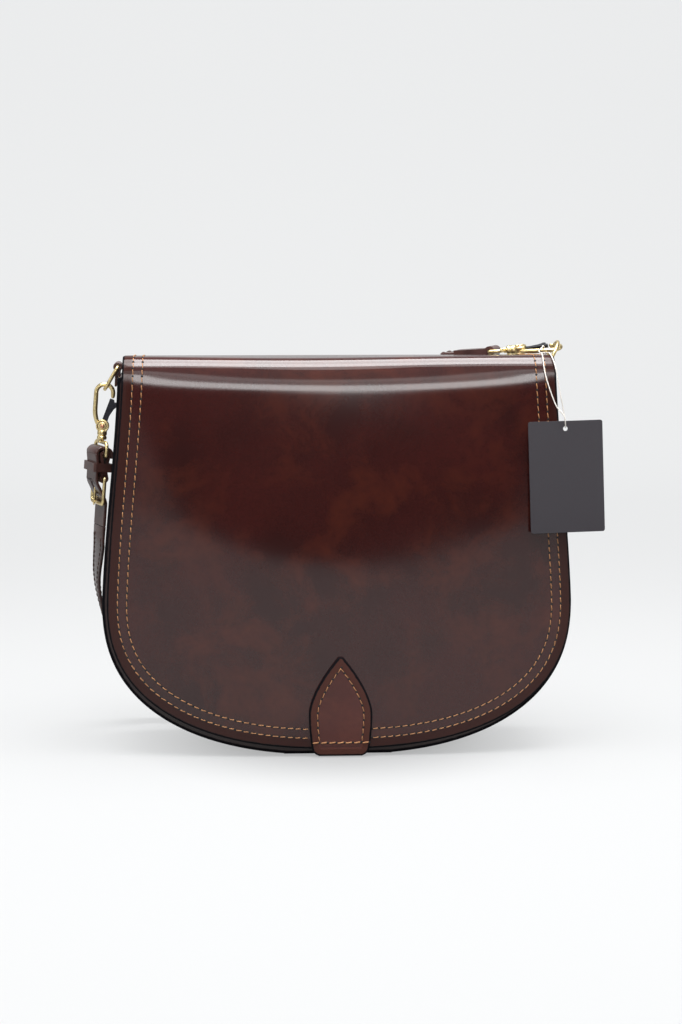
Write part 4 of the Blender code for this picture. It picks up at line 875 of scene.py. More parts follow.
def bulge_at(z: float, depth: float) -> float:
    """How far a full bag's front stands out at a height, where depth is the most."""
    return depth * max(0.0, 1.0 - ((z - 95.0 * MM) / (170.0 * MM)) ** 2)


def top_height(y: float) -> float:
    """The height of the leather's outer face on the bag's top."""
    return FLAP_TOP - (y - TOP_LEVEL_Y) * math.tan(TOP_SLOPE)


def top_shift(y: float) -> float:
    """How far the leather has moved to the right on its way over the top."""
    return FLAP_SHIFT * min(1.0, max(0.0, (BACK_Y - y) / (BACK_Y - FLAP_Y)))


def bend_centre(radius: float, face_y: float, sign: float) -> Flat:
    """The middle of a bend between a standing face, 1 for the back and -1 for the front, and the sloping top."""
    y = face_y - sign * radius
    return y, top_height(y + radius * math.sin(TOP_SLOPE)) - radius * math.cos(TOP_SLOPE)


# ------------------------------------------------------------------ leather faces and sheets


@dataclass
class Face:
    """The outer face of a leather: one profile for its sides and one for its middle, both followed from the top.

    Attributes:
        side: Y and Z of the profile at the sides.
        middle: Y and Z of the profile at the middle, row for row.
        half: half of the width at each row.
        shift: where each row's middle is.
        outward: -1 where the face looks to -Y, 1 where it looks to +Y.
        dip: how far each row sags at the dip's place.
        stand_off: how far the face stands off from these profiles.
        waves: the size of the hand-made unevenness.
    """

    side: np.ndarray
    middle: np.ndarray
    half: np.ndarray
    shift: np.ndarray
    outward: float = -1.0
    dip: np.ndarray | None = None
    stand_off: float = 0.0
    waves: float = 1.0
    run: np.ndarray = field(init=False)

    def __post_init__(self) -> None:
        """Measure the way down the side profile."""
        self.run = run_along(self.side)

    def run_at_height(self, z: float) -> float:
        """How far down the profile a height is, below the bend.

        Args:
            z: the height.

        Returns:
            The distance from the profile's start.
        """
        below = int(np.argmax(self.side[:, 1] < BODY_TOP - 12.0 * MM))
        heights = self.side[below:, 1]
        return float(np.interp(-z, -heights, self.run[below:]))

    def base(self, x: np.ndarray, s: np.ndarray) -> np.ndarray:
        """Points of the face itself.

        Args:
            x: places across.
            s: places down the profile.

        Returns:
            The points.
        """
        share = np.clip(1.0 - (x / BULGE_HALF) ** 2, 0.0, 1.0)
        y, z = (
            np.interp(s, self.run, self.side[:, i]) * (1 - share) + np.interp(s, self.run, self.middle[:, i]) * share
            for i in (0, 1)
        )
        if self.dip is not None:
            z = z - np.interp(s, self.run, self.dip) * np.exp(-(((x + 30.0 * MM) / (75.0 * MM)) ** 2))
        fade = np.clip(s / (30.0 * MM), 0.0, 1.0) * self.waves * MM
        wave = 0.24 * np.sin(x / 0.041 + 1.3) * np.sin(s / 0.057 + 0.4)
        wave += 0.17 * np.sin(x / 0.023 + s / 0.061 + 2.1) + 0.10 * np.sin(s / 0.019 - x / 0.031)
        return np.stack([x, y + wave * fade, z], axis=-1)

    def at(self, x: np.ndarray, s: np.ndarray, depth: float = 0.0) -> Line:
        """Points under or over the face, and the face's normals there.

        Args:
            x: places across.
            s: places down the profile.
            depth: how far under the face.

        Returns:
            The points and the normals.
        """
        x, s = np.asarray(x, float), np.asarray(s, float)
        step = 0.5 * MM
        low, high = np.maximum(s - step, 0.0), np.minimum(s + step, self.run[-1])
        across = self.base(x + step, s) - self.base(x - step, s)
        normal = np.cross(across, self.base(x, high) - self.base(x, low))
        normal /= np.linalg.norm(normal, axis=-1, keepdims=True)
        flip = np.where(normal[..., 1:2] * self.outward + normal[..., 2:3] * 0.5 < 0, -1.0, 1.0)
        normal = normal * flip
        return self.base(x, s) + normal * (self.stand_off - depth), normal


@dataclass
class Outline:
    """The outline of a leather on its face, from its upper end down to the middle of its lower edge.

    Attributes:
        face: the face it is on.
        first: how far down the profile it starts.
        last: how far down it ends.
        step: about how far apart its points are.
        closed_top: whether its upper end is an edge too.
    """

    face: Face
    first: float
    last: float
    step: float = 3.0 * MM
    closed_top: bool = False
    right: np.ndarray = field(init=False)

    def __post_init__(self) -> None:
        """Space the right half of the outline evenly."""
        s = self.first + (self.last - self.first) * (1.0 - (1.0 - np.linspace(0.0, 1.0, 4000)) ** 2)
        half = np.interp(s, self.face.run, self.face.half)
        line = np.concatenate([np.stack([half, s], axis=-1), [[0.0, self.last]]])
        self.right = evenly(line, max(12, int(run_along(line)[-1] / self.step)))

    def inset(self, distance: float) -> np.ndarray:
        """The right half moved inward.

        Args:
            distance: how far.

        Returns:
            Its points, measured from each row's middle.
        """
        moved = self.right - beside(self.right) * distance
        moved[-1] = (0.0, self.last - distance)
        return moved[moved[:, 0] >= 0.0]

    def row(self, distance: float) -> Line:
        """The whole line at a distance from the edge, from the right top round to the left top.

        Args:
            distance: how far in from the edge.

        Returns:
            Places across and down.
        """
        right = self.inset(distance)
        shift = np.interp(right[:, 1], self.face.run, self.face.shift)
        x = np.concatenate([shift + right[:, 0], (shift - right[:, 0])[::-1][1:]])
        return x, np.concatenate([right[:, 1], right[::-1, 1][1:]])

    def distance(self, x: np.ndarray, s: np.ndarray) -> np.ndarray:
        """How far places are from the edge.

        Args:
            x: places across.
            s: places down.

        Returns:
            The distances.
        """
        edge = np.stack(self.row(0.0), axis=-1)
        if self.closed_top:
            edge = np.append(edge, edge[:1], axis=0)
        spots = np.stack([x.ravel(), s.ravel()], axis=-1)
        best = np.full(len(spots), 1.0)
        for start, end in zip(edge, edge[1:]):
            way = end - start
            size = max(float(way @ way), 1e-12)
            t = np.clip(((spots - start) @ way) / size, 0.0, 1.0)
            best = np.minimum(best, np.linalg.norm(spots - start - t[:, None] * way, axis=1))
        return best.reshape(x.shape)


@dataclass
class Sheet:
    """A cut leather with rounded edges.

    Attributes:
        name: the piece's name.
        outline: its outline on its face.
        thickness: how thick it is.
        columns: how many quads lie across it.
        rounding: how wide the outer edge is rounded.
        inner_rounding: how wide the inner edge is.
    """

    name: str
    outline: Outline
    thickness: float
    columns: int = 96
    rounding: float = 1.0 * MM
    inner_rounding: float = 0.6 * MM

    def rows(self) -> Line:
        """The grid's rows: half width and place down, inside the rounded edge.

        Returns:
            Half widths and places.
        """
        face, outline, closed = self.outline.face, self.outline, self.outline.closed_top
        top_half = float(np.interp(outline.first, face.run, face.half)) - self.rounding
        rows = [] if closed else [(top_half, outline.first)]
        first, last = outline.first + (self.rounding if closed else 0.0), outline.last - self.rounding
        least, spare = 0.25 * MM, 0.06 * MM
        for half, s in outline.inset(self.rounding):
            if s > max(first, rows[-1][1] if rows else 0.0) + spare and s < last - spare and half > least:
                rows.append((half, s))
        rows.append((rows[-1][0], last))
        if closed and rows[0][0] > 5.0 * MM:
            rows.insert(0, (rows[0][0], first))
        table = np.array(rows)
        return table[:, 0], table[:, 1]

    def rim(self) -> list[Flat]:
        """The edge's round.

        Returns:
            How far out from the grid and how deep each ring is.
        """
        r, q, t, eighth = self.rounding, self.inner_rounding, self.thickness, math.pi / 8
        outer = [(r * math.sin(a * eighth), r * (1.0 - math.cos(a * eighth))) for a in (1, 2, 3, 4)]
        return outer + [(r - q + q * math.cos(a * eighth), t - q + q * math.sin(a * eighth)) for a in (0, 2, 4)]

    def build(self, material: Material) -> Piece:
        """Make the mesh.

        Args:
            material: the finish.

        Returns:
            The piece.
        """
        outline, face, n, closed = self.outline, self.outline.face, self.columns, self.outline.closed_top
        half, s = self.rows()
        count, wide = len(s), n + 1
        shift = np.interp(s, face.run, face.shift)
        grid_x = shift[:, None] + half[:, None] * np.linspace(-1.0, 1.0, wide)[None, :]
        grid_s = np.repeat(s[:, None], wide, axis=1)
        verts = [spot for depth in (0.0, self.thickness) for spot in face.at(grid_x, grid_s, depth)[0].reshape(-1, 3)]
        near = outline.distance(grid_x, grid_s).ravel()
        marks = [*near, *near]
        chain = [(r, n) for r in range(count)] + [(count - 1, c) for c in range(n - 1, -1, -1)]
        chain += [(r, 0) for r in range(count - 2, -1, -1)] + ([(0, c) for c in range(1, n)] if closed else [])
        flat = np.array([(grid_x[r, c], grid_s[r, c]) for r, c in chain])
        way = np.roll(flat, -1, axis=0) - np.roll(flat, 1, axis=0) if closed else np.gradient(flat, axis=0)
        way /= np.maximum(np.linalg.norm(way, axis=1, keepdims=True), 1e-9)
        out = np.stack([way[:, 1], -way[:, 0]], axis=-1)
        if not closed:
            out[0], out[-1] = (1.0, 0.0), (-1.0, 0.0)
        rings = [[r * wide + c for r, c in chain]]
        for reach, depth in self.rim():
            spot = flat + out * reach
            points, _ = face.at(spot[:, 0], spot[:, 1], depth)
            rings.append(list(range(len(verts), len(verts) + len(points))))
            verts += list(points)
            marks += [0.0] * len(points)
        base = count * wide
        rings.append([base + r * wide + c for r, c in chain])
        faces = []
        for r in range(count - 1):
            for c in range(n):
                a = r * wide + c
                faces.append((a, a + 1, a + wide + 1, a + wide))
                faces.append((base + a, base + a + wide, base + a + wide + 1, base + a + 1))
        size = len(chain)
        for before, after in zip(rings, rings[1:]):
            for k in range(size if closed else size - 1):
                m = (k + 1) % size
                faces.append((before[k], before[m], after[m], after[k]))
        if not closed:
            right, left = [ring[0] for ring in rings[1:-1]], [ring[-1] for ring in rings[1:-1]]
            faces.append((*range(wide), *right, *reversed(range(base, base + wide)), *reversed(left)))
        piece = add_mesh(self.name, (verts, faces), material)
        mark = piece.data.attributes.new("edge_distance", "FLOAT", "POINT")
        mark.data.foreach_set("value", np.array(marks, np.float32))
        return piece


# ------------------------------------------------------------------ stitches


@dataclass(frozen=True)
class StitchSize:
    """The sizes of a row of stitches."""

    pitch: float = 5.0 * MM
    length: float = 3.7 * MM
    radius: float = 0.33 * MM
    rise: float = 0.40 * MM
    hole: float = 0.80 * MM


class Sewing:
    """Sews rows of stitches: at each step an arch of thread, and before the next one a flat near-black dome, a painted
    shade that stands for the hole the thread goes through.
    """

    def __init__(self, finishes: Finishes) -> None:
        """Build the node tree.

        Args:
            finishes: the bag's finishes.
        """
        self.group = bpy.data.node_groups.new("row_of_stitches", "GeometryNodeTree")
        face = self.group.interface
        face.new_socket("Geometry", in_out="INPUT", socket_type="NodeSocketGeometry")
        self.sockets = {
            size: face.new_socket(size.title(), in_out="INPUT", socket_type="NodeSocketFloat").identifier
            for size in ("pitch", "length", "radius", "rise", "hole")
        }
        face.new_socket("Geometry", in_out="OUTPUT", socket_type="NodeSocketGeometry")
        self.build(Tree(self.group), finishes)

    def build(self, tree: Tree, finishes: Finishes) -> None:
        """Add the nodes.

        Args:
            tree: the group's tree.
            finishes: the bag's finishes.
        """

        def named(name: str, kind: str) -> Socket:
            """A named attribute of the rows or the stitches."""
            return tree.add("GeometryNodeInputNamedAttribute", {"Name": name}, data_type=kind).outputs["Attribute"]

        given = tree.add("NodeGroupInput").outputs
        curve = tree.add("GeometryNodeMeshToCurve", {"Mesh": given["Geometry"]}).outputs[0]
        spacing = {"Curve": curve, "Length": given["Pitch"]}
        steps = tree.add("GeometryNodeResampleCurve", spacing, mode="LENGTH").outputs[0]
        along = tree.add("GeometryNodeInputTangent").outputs[0]
        axes = {"Primary Axis": named("up", "FLOAT_VECTOR"), "Secondary Axis": along}
        turn = tree.add("FunctionNodeAxesToRotation", axes, primary_axis="Z", secondary_axis="X").outputs[0]
        half = tree.math("MULTIPLY", given["Length"], 0.5)
        inner = tree.math("MULTIPLY", given["Length"], 0.30)
        low = tree.math("MULTIPLY", given["Rise"], -0.9)
        slant = tree.math("MULTIPLY", given["Radius"], 0.5)
        bow = {"Resolution": 6}
        for end, sign, reach, height in (
            ("Start", -1.0, half, low), ("Start Handle", -1.0, inner, given["Rise"]),
            ("End Handle", 1.0, inner, given["Rise"]), ("End", 1.0, half, low),
        ):
            spot = {"X": tree.math("MULTIPLY", reach, sign), "Y": tree.math("MULTIPLY", slant, sign), "Z": height}
            bow[end] = tree.add("ShaderNodeCombineXYZ", spot).outputs[0]
        arch = tree.add("GeometryNodeCurvePrimitiveBezierSegment", bow, mode="POSITION").outputs[0]
        circle = {"Resolution": 7, "Radius": given["Radius"]}
        ring = tree.add("GeometryNodeCurvePrimitiveCircle", circle, mode="RADIUS").outputs[0]
        swept = {"Curve": arch, "Profile Curve": ring, "Fill Caps": True}
        thread = tree.add("GeometryNodeCurveToMesh", swept).outputs[0]
        # The hole is a flattened dome in a near-black finish: painted shade in place of a real recess.
        round_hole = {"Segments": 8, "Rings": 4, "Radius": given["Hole"]}
        ball = tree.add("GeometryNodeMeshUVSphere", round_hole).outputs[0]
        place = tree.add("ShaderNodeCombineXYZ", {"X": tree.math("MULTIPLY", given["Pitch"], 0.5)}).outputs[0]
        pressed = {"Geometry": ball, "Translation": place, "Scale": (1.0, 1.0, 0.24)}
        marked = {"Geometry": tree.add("GeometryNodeTransform", pressed).outputs[0], "Name": "pricked", "Value": True}
        pricked = tree.add("GeometryNodeStoreNamedAttribute", marked, data_type="BOOLEAN", domain="FACE").outputs[0]
        both = tree.add("GeometryNodeJoinGeometry", {0: thread})
        tree.feed(both, {0: pricked})
        spread = {0: (0.92, 0.92, 0.85), 1: (1.04, 1.10, 1.15), "Seed": 7}
        vary = tree.add("FunctionNodeRandomValue", spread, data_type="FLOAT_VECTOR").outputs[0]
        sown = {"Points": steps, "Instance": both.outputs[0], "Rotation": turn, "Scale": vary}
        row = tree.add("GeometryNodeInstanceOnPoints", sown).outputs[0]
        real = tree.add("GeometryNodeRealizeInstances", {"Geometry": row}).outputs[0]
        sewn = tree.add("GeometryNodeSetMaterial", {"Geometry": real, "Material": finishes.thread}).outputs[0]
        hole_shading = {"Geometry": sewn, "Selection": named("pricked", "BOOLEAN"), "Material": finishes.hole}
        tree.add("NodeGroupOutput", {0: tree.add("GeometryNodeSetMaterial", hole_shading).outputs[0]})

    def sew(
        self, name: str, rows: Sequence[Line], size: StitchSize = StitchSize(), thread: Material | None = None
    ) -> Piece:
        """Sew rows.

        Args:
            name: the piece's name.
            rows: the points and normals of each row.
            size: the stitch sizes.
            thread: another thread than the usual one.

        Returns:
            The stitches as one piece.
        """
        mesh = bpy.data.meshes.new(name)
        verts = np.concatenate([points for points, _ in rows])
        edges, start = [], 0
        for points, _ in rows:
            edges += [(start + i, start + i + 1) for i in range(len(points) - 1)]
            start += len(points)
        mesh.from_pydata([tuple(map(float, v)) for v in verts], edges, [])
        up = mesh.attributes.new("up", "FLOAT_VECTOR", "POINT")
        up.data.foreach_set("vector", np.concatenate([normals for _, normals in rows]).astype(np.float32).ravel())
        piece = bpy.data.objects.new(name, mesh)
        bpy.context.scene.collection.objects.link(piece)
        sewing = piece.modifiers.new("sewing", "NODES")
        sewing.node_group = self.group
        for label, socket in self.sockets.items():
            sewing[socket] = getattr(size, label)
        piece = settle(piece)
        piece.data.shade_smooth()
        if thread:
            slots = piece.data.materials
            slots[slots.find("stitch_thread")] = thread
        return piece


def split_row(x: np.ndarray, s: np.ndarray, keep: np.ndarray) -> list[Line]:
    """Cut a row where it isn't kept.

    Args:
        x: places across.
        s: places down.
        keep: which places are kept.

    Returns:
        The stretches that are left.
    """
    parts, start = [], None
    for i, wanted in enumerate([*keep, False]):
        if wanted and start is None:
            start = i
        if not wanted and start is not None:
            if i - start > 2:
                parts.append((x[start:i], s[start:i]))
            start = None
    return parts


# ------------------------------------------------------------------ the leather body


@dataclass
class LeatherBody:
    """The bag's leathers: flap, back, front panel, gusset and pull tab, with their stitches."""

    finishes: Finishes
    sewing: Sewing
    flap_thickness: float = 3.0 * MM
    panel_thickness: float = 2.6 * MM
    gusset_thickness: float = 2.2 * MM
    tab_thickness: float = 2.4 * MM
    lining_thickness: float = 1.8 * MM
    flap_bulge: float = 8.5 * MM
    panel_bulge: float = 5.0 * MM
    back_bulge: float = 1.6 * MM
    front_bend: float = 12.0 * MM
    back_bend: float = 11.0 * MM
    rows: Flat = (7.3 * MM, 13.5 * MM)
    panel_row: float = 5.0 * MM
    tab_half: float = 21.4 * MM
    tab_bottom: float = 0.8 * MM
    tab_tip: float = 70.2 * MM
    tab_shoulder: float = 30.0 * MM
    tab_taper: float = 3.0 * MM
    tab_corner: float = 5.0 * MM
    tab_row: float = 5.8 * MM
    tab_cross_row: float = 10.1 * MM

    def flap_face(self) -> Face:
        """The flap's outer face, from the fold line over the front bend and down.

        Returns:
            The face.
        """
        join, soft = 247.3 * MM, math.radians(22.0)
        centre = bend_centre(self.front_bend, FLAP_Y, -1.0)
        bend = arc_points(centre, self.front_bend, math.pi / 2 - TOP_SLOPE, math.pi, 90)
        fold = (FOLD_LINE_Y, top_height(FOLD_LINE_Y))
        side = line_points(fold, bend[0], 160)[:-1] + bend[:-1] + line_points(bend[-1], (FLAP_Y, join), 40)[:-1]
        y, z = FLAP_Y - bulge_at(join, self.flap_bulge), join
        tilt = math.atan((bulge_at(join - MM, self.flap_bulge) - bulge_at(join + MM, self.flap_bulge)) / (2 * MM))
        climb = []
        for radius, start, end, count in (
            (16.0 * MM / (soft - tilt), tilt, soft, 40), (10.5 * MM, soft, math.radians(91.2), 90),
        ):
            turns = [start + (end - start) * i / count for i in range(1, count + 1)]
            climb += [
                (y + radius * (math.cos(start) - math.cos(a)), z + radius * (math.sin(a) - math.sin(start)))
                for a in turns
            ]
            y, z = climb[-1]
        middle = line_points(fold, climb[-1], 160)[:-1] + list(reversed(climb))
        heights = [join + (-3.0 * MM - join) * i / 500 for i in range(501)]
        side += [(FLAP_Y, h) for h in heights]
        middle += [(FLAP_Y - bulge_at(h, self.flap_bulge), h) for h in heights]
        half = [FLAP.half_width(min(h, FLAP_TOP)) if h > FLAP.bottom else 0.0 for _, h in side]
        shift = [top_shift(y) if h > join else FLAP_SHIFT for y, h in side]
        dip = [
            0.9 * MM * np.clip((8.0 * MM - y) / (36.0 * MM), 0, 1) ** 2 * np.clip((h - 250.0 * MM) / (12.0 * MM), 0, 1)
            for y, h in side
        ]
        return Face(*map(np.array, (side, middle, half, shift)), -1.0, np.array(dip))

    def back_face(self) -> Face:
        """The back's outer face, from the fold line over the back bend and down.

        Returns:
            The face.
        """
        centre = bend_centre(self.back_bend, BACK_Y, 1.0)
        bend = arc_points(centre, self.back_bend, math.pi / 2 - TOP_SLOPE, 0.0, 80)
        fold = (FOLD_LINE_Y, top_height(FOLD_LINE_Y))
        side = line_points(fold, bend[0], 90)[:-1] + bend + line_points(bend[-1], (BACK_Y, 0.0), 500)[1:]
        bulge = [self.back_bulge * max(0.0, 1.0 - ((h - 110.0 * MM) / (130.0 * MM)) ** 2) for _, h in side]
        middle = [(y + (out if y > BACK_Y - MM else 0.0), h) for out, (y, h) in zip(bulge, side)]
        half = []
        for _, h in side:
            share = min(1.0, max(0.0, (centre[1] - h) / (14.0 * MM)))
            ease = share * share * (3.0 - 2.0 * share)
            half.append(FLAP.half_width(min(h, FLAP_TOP)) * (1.0 - ease) + BODY.half_width(min(h, BODY_TOP)) * ease)
        shift = [top_shift(y) for y, _ in side]
        return Face(*map(np.array, (side, middle, half, shift)), 1.0, waves=0.6)

    def panel_face(self) -> Face:
        """The front panel's outer face.

        Returns:
            The face.
        """
        heights = [BODY_TOP * (1.0 - i / 500) for i in range(501)]
        side = [(FRONT_Y, h) for h in heights]
        middle = [(FRONT_Y - bulge_at(h, self.panel_bulge), h) for h in heights]
        half = [BODY.half_width(h) for h in heights]
        return Face(*map(np.array, (side, middle, half)), np.zeros(501), waves=0.5)

    def tab_half_width(self, z: float) -> float:
        """Half of the pull tab's width at a height.

        Args:
            z: the height.

        Returns:
            The half width.
        """
        if z >= self.tab_shoulder:
            share = min(1.0, (z - self.tab_shoulder) / (self.tab_tip - self.tab_shoulder))
            return self.tab_half * max(0.02, 1.0 - share**1.6)
        rise = max(0.0, z - self.tab_bottom)
        taper = self.tab_taper * ((self.tab_shoulder - z) / (self.tab_shoulder - self.tab_bottom)) ** 2
        corner = 0.0
        if rise < self.tab_corner:
            corner = self.tab_corner - math.sqrt(self.tab_corner**2 - (self.tab_corner - rise) ** 2)
        return self.tab_half - taper - corner

    def tab_face(self, flap: Face, stand_off: float) -> Face:
        """The face of a leather of the tab, which stands off from the flap's."""
        half = np.array([self.tab_half_width(h) for h in flap.side[:, 1]])
        return Face(flap.side, flap.middle, half, np.full(len(half), FLAP_SHIFT), -1.0, flap.dip, stand_off)

    def sew_on(
        self, name: str, face: Face, lines: Sequence[Line], moves: str | Bend, size: StitchSize = StitchSize()
    ) -> None:
        """Sew lines on a face and hand them over: attached to a body, or fixed in place where they bend."""
        rows = [face.at(x, s) for x, s in lines]
        hand_over(self.sewing.sew(name, rows, size), moves, Slot.FLAP)

    def build_flap(self) -> None:
        """Make the flap with its stitches, and the pull tab with its own."""
        face = self.flap_face()
        down = face.run_at_height
        outline = Outline(face, 0.0, down(5.3 * MM))
        flap = Sheet("flap", outline, self.flap_thickness).build(self.finishes.flap)
        hand_over(flap, LIFT, Slot.FLAP, "flap_top", "flap_front")
        lines = []
        for distance in self.rows:
            x, s = outline.row(distance)
            lines += split_row(x, s, (np.abs(x - FLAP_SHIFT) > self.tab_half - 0.4 * MM) | (s < down(self.tab_tip)))
        self.sew_on("flap_stitches", face, lines, LIFT)
        outer = self.tab_face(face, self.tab_thickness + CLEARANCE)
        inner = self.tab_face(face, -self.flap_thickness - CLEARANCE)
        edge = Outline(outer, down(self.tab_tip), down(self.tab_bottom), 1.2 * MM, True)
        under = Outline(inner, edge.first, edge.last, 1.6 * MM, True)
        for sheet, node in (
            (Sheet("pull_tab", edge, self.tab_thickness, 44, 0.9 * MM, 0.4 * MM), "flap_tab"),
            (Sheet("pull_tab_lining", under, self.lining_thickness, 36, 0.7 * MM, 0.4 * MM), "flap_tab_lining"),
        ):
            hand_over(sheet.build(self.finishes.tab), "flap_front_half", Slot.FLAP, node)
        x, s = edge.row(self.tab_row)
        low = down(self.tab_cross_row)
        sides = split_row(x, s, (s < low - 2.0 * MM) & (np.abs(x - FLAP_SHIFT) > 0.8 * MM))
        reach = self.tab_half_width(self.tab_cross_row) - 3.2 * MM
        cross = [(FLAP_SHIFT + np.linspace(-reach, reach, 30), np.full(30, low))]
        bold = StitchSize(length=4.0 * MM, radius=0.5 * MM, rise=0.5 * MM)
        self.sew_on("pull_tab_stitches", outer, sides, "flap_front_half", StitchSize(radius=0.31 * MM))
        self.sew_on("pull_tab_cross_row", outer, cross, "flap_front_half", bold)

    def build_back(self) -> None:
        """Make the back with its stitches."""
        face = self.back_face()
        outline = Outline(face, 0.0, float(face.run[-1]))
        back = Sheet("back", outline, self.flap_thickness).build(self.finishes.flap)
        hand_over(back, FOLD, Slot.FLAP, "back_panel")
        self.sew_on("back_stitches", face, [outline.row(distance) for distance in self.rows], FOLD)

    def build_panel(self) -> None:
        """Make the front panel with its row of stitches."""
        face = self.panel_face()
        outline = Outline(face, 0.0, float(face.run[-1]), 3.0 * MM, True)
        panel = Sheet("front_panel_leather", outline, self.panel_thickness, 80, 0.9 * MM).build(self.finishes.panel)
        hand_over(panel, "bag_body", Slot.FLAP, "front_panel")
        self.sew_on("front_panel_stitches", face, [outline.row(self.panel_row)], "bag_body")

    def gusset_section(self, front: float, back: float, fold: float) -> list[Flat]:
        """The band's section: how far in and at what Y each of its points is.

        Args:
            front: where the front flange's outer side is.
            back: where the back flange's is.
            fold: how far the band is drawn in at its middle.

        Returns:
            The closed section.
        """
        t, flange, round_in = self.gusset_thickness, 10.0 * MM, 1.6 * MM
        low, high, turn = front + t / 2, back - t / 2, t / 2 + round_in
        corner = [(turn - round_in * math.sin(a), round_in * (1 - math.cos(a))) for a in (0.4, 0.8, 1.2)]
        line = [(flange, low), (flange * 0.55, low), (turn, low), *((x, low + y) for x, y in corner)]
        for i in range(25):
            v = i / 24
            y = low + round_in + (high - low - 2 * round_in) * v
            line.append((t / 2 + fold * (1.0 - math.cos(2 * math.pi * v)) / 2, y))
        line += [(x, high - y) for x, y in reversed(corner)]
        line += [(turn, high), (flange * 0.55, high), (flange, high)]
        spots = np.array(line)
        side = beside(spots) * t / 2
        return [tuple(spot) for spot in (*(spots - side), *(spots + side)[::-1])]

    def build_gusset(self) -> None:
        """Make the band between the panels."""
        front = FRONT_Y + self.panel_thickness + CLEARANCE
        back = BACK_Y - self.flap_thickness - CLEARANCE
        top, fold_low = BODY_TOP - MM, 60.0 * MM
        heights = top * (1.0 - (1.0 - np.linspace(0.0, 1.0, 3000)) ** 2)[::-1]
        right = evenly(np.array([(BODY.half_width(h), h) for h in heights] + [(0.0, 0.0)]), 64)[:-1]
        route = np.concatenate([right, [[0.0, 0.0]], (right * (-1, 1))[::-1]])
        inward = beside(route)
        away = (inward * (np.array([[0.0, BODY_BELLY_HEIGHT]]) - route)).sum(axis=1, keepdims=True) < 0
        inward *= np.where(away, -1.0, 1.0)
        verts = []
        for (x, z), (ix, iz) in zip(route, inward):
            rise = max(0.0, (z - fold_low) / (top - fold_low))
            out = bulge_at(z, self.panel_bulge) * max(0.0, 1.0 - (x / BULGE_HALF) ** 2)
            section = self.gusset_section(front - out, back, 6.0 * MM * math.sin(math.pi * rise))
            verts += [(x + ix * reach, y, z + iz * reach) for reach, y in section]
        size = len(section)
        faces = [*skin(len(route), size), tuple(range(size)), tuple(range(len(verts) - size, len(verts)))]
        piece = add_mesh("gusset_band", (verts, faces), self.finishes.gusset)
        hand_over(piece, "bag_body", Slot.FLAP, "gusset_left", "gusset_base", "gusset_right")

    def build(self) -> None:
        """Make every leather of the body."""
        self.build_flap()
        self.build_back()
        self.build_panel()
        self.build_gusset()


@dataclass
class Snap:
    """The magnetic snap behind the pull tab."""

    finishes: Finishes

    def build(self) -> None:
        """Make its halves and back plate from the frame's, with broken edges."""
        for node, name, finish, width, body, slot in (
            ("snap_plug_half", "snap_plug", self.finishes.brass, 0.25, "flap_front_half", Slot.BRASS),
            ("snap_socket_half", "snap_socket", self.finishes.brass, 0.25, "bag_body", Slot.BRASS),
            ("snap_back_plate", "snap_plate", self.finishes.steel, 0.2, "bag_body", Slot.STEEL),
        ):
            hand_over(refined_copy(node, name, finish, width * MM), body, slot, node)


# ------------------------------------------------------------------ rings, hooks and straps

HOOK_WIRE = 1.65 * MM
HOOK_MOUTH = 4.2 * MM
HOOK_BEND = HOOK_MOUTH + HOOK_WIRE
RING_WIRE = 1.3 * MM
RING_HALF = 11.3 * MM
RING_REACH = 18.3 * MM
RING_BAR_HEIGHT = BODY_TOP - MM + 4.6 * MM
CROWN_Z = RING_WIRE + CLEARANCE - HOOK_MOUTH
BOSS_Z = -25.8 * MM
BARREL_LOW = -35.2 * MM
FRAME_WIRE = 1.3 * MM
EYE_TOP = BARREL_LOW - CLEARANCE - FRAME_WIRE
EYE_LOW = EYE_TOP - 6.4 * MM - 2 * FRAME_WIRE
HEEL_DROP = 15.7 * MM
HEEL_Z = EYE_LOW - HEEL_DROP
BUCKLE_LENGTH = 18.0 * MM
STRAP_WIDTH = 20.0 * MM
STRAP_THICKNESS = 2.2 * MM
FRAME_HALF = STRAP_WIDTH / 2 + 0.4 * MM + FRAME_WIRE
FOLDS_Y = 72.0 * MM
FOLDS_HALF = 92.0 * MM
FOLDS_PITCH = STRAP_THICKNESS + 0.6 * MM
ACROSS_BOSS = Matrix.Translation((0.0, 0.0, BOSS_Z)) @ Matrix.Rotation(math.pi / 2, 4, "X")


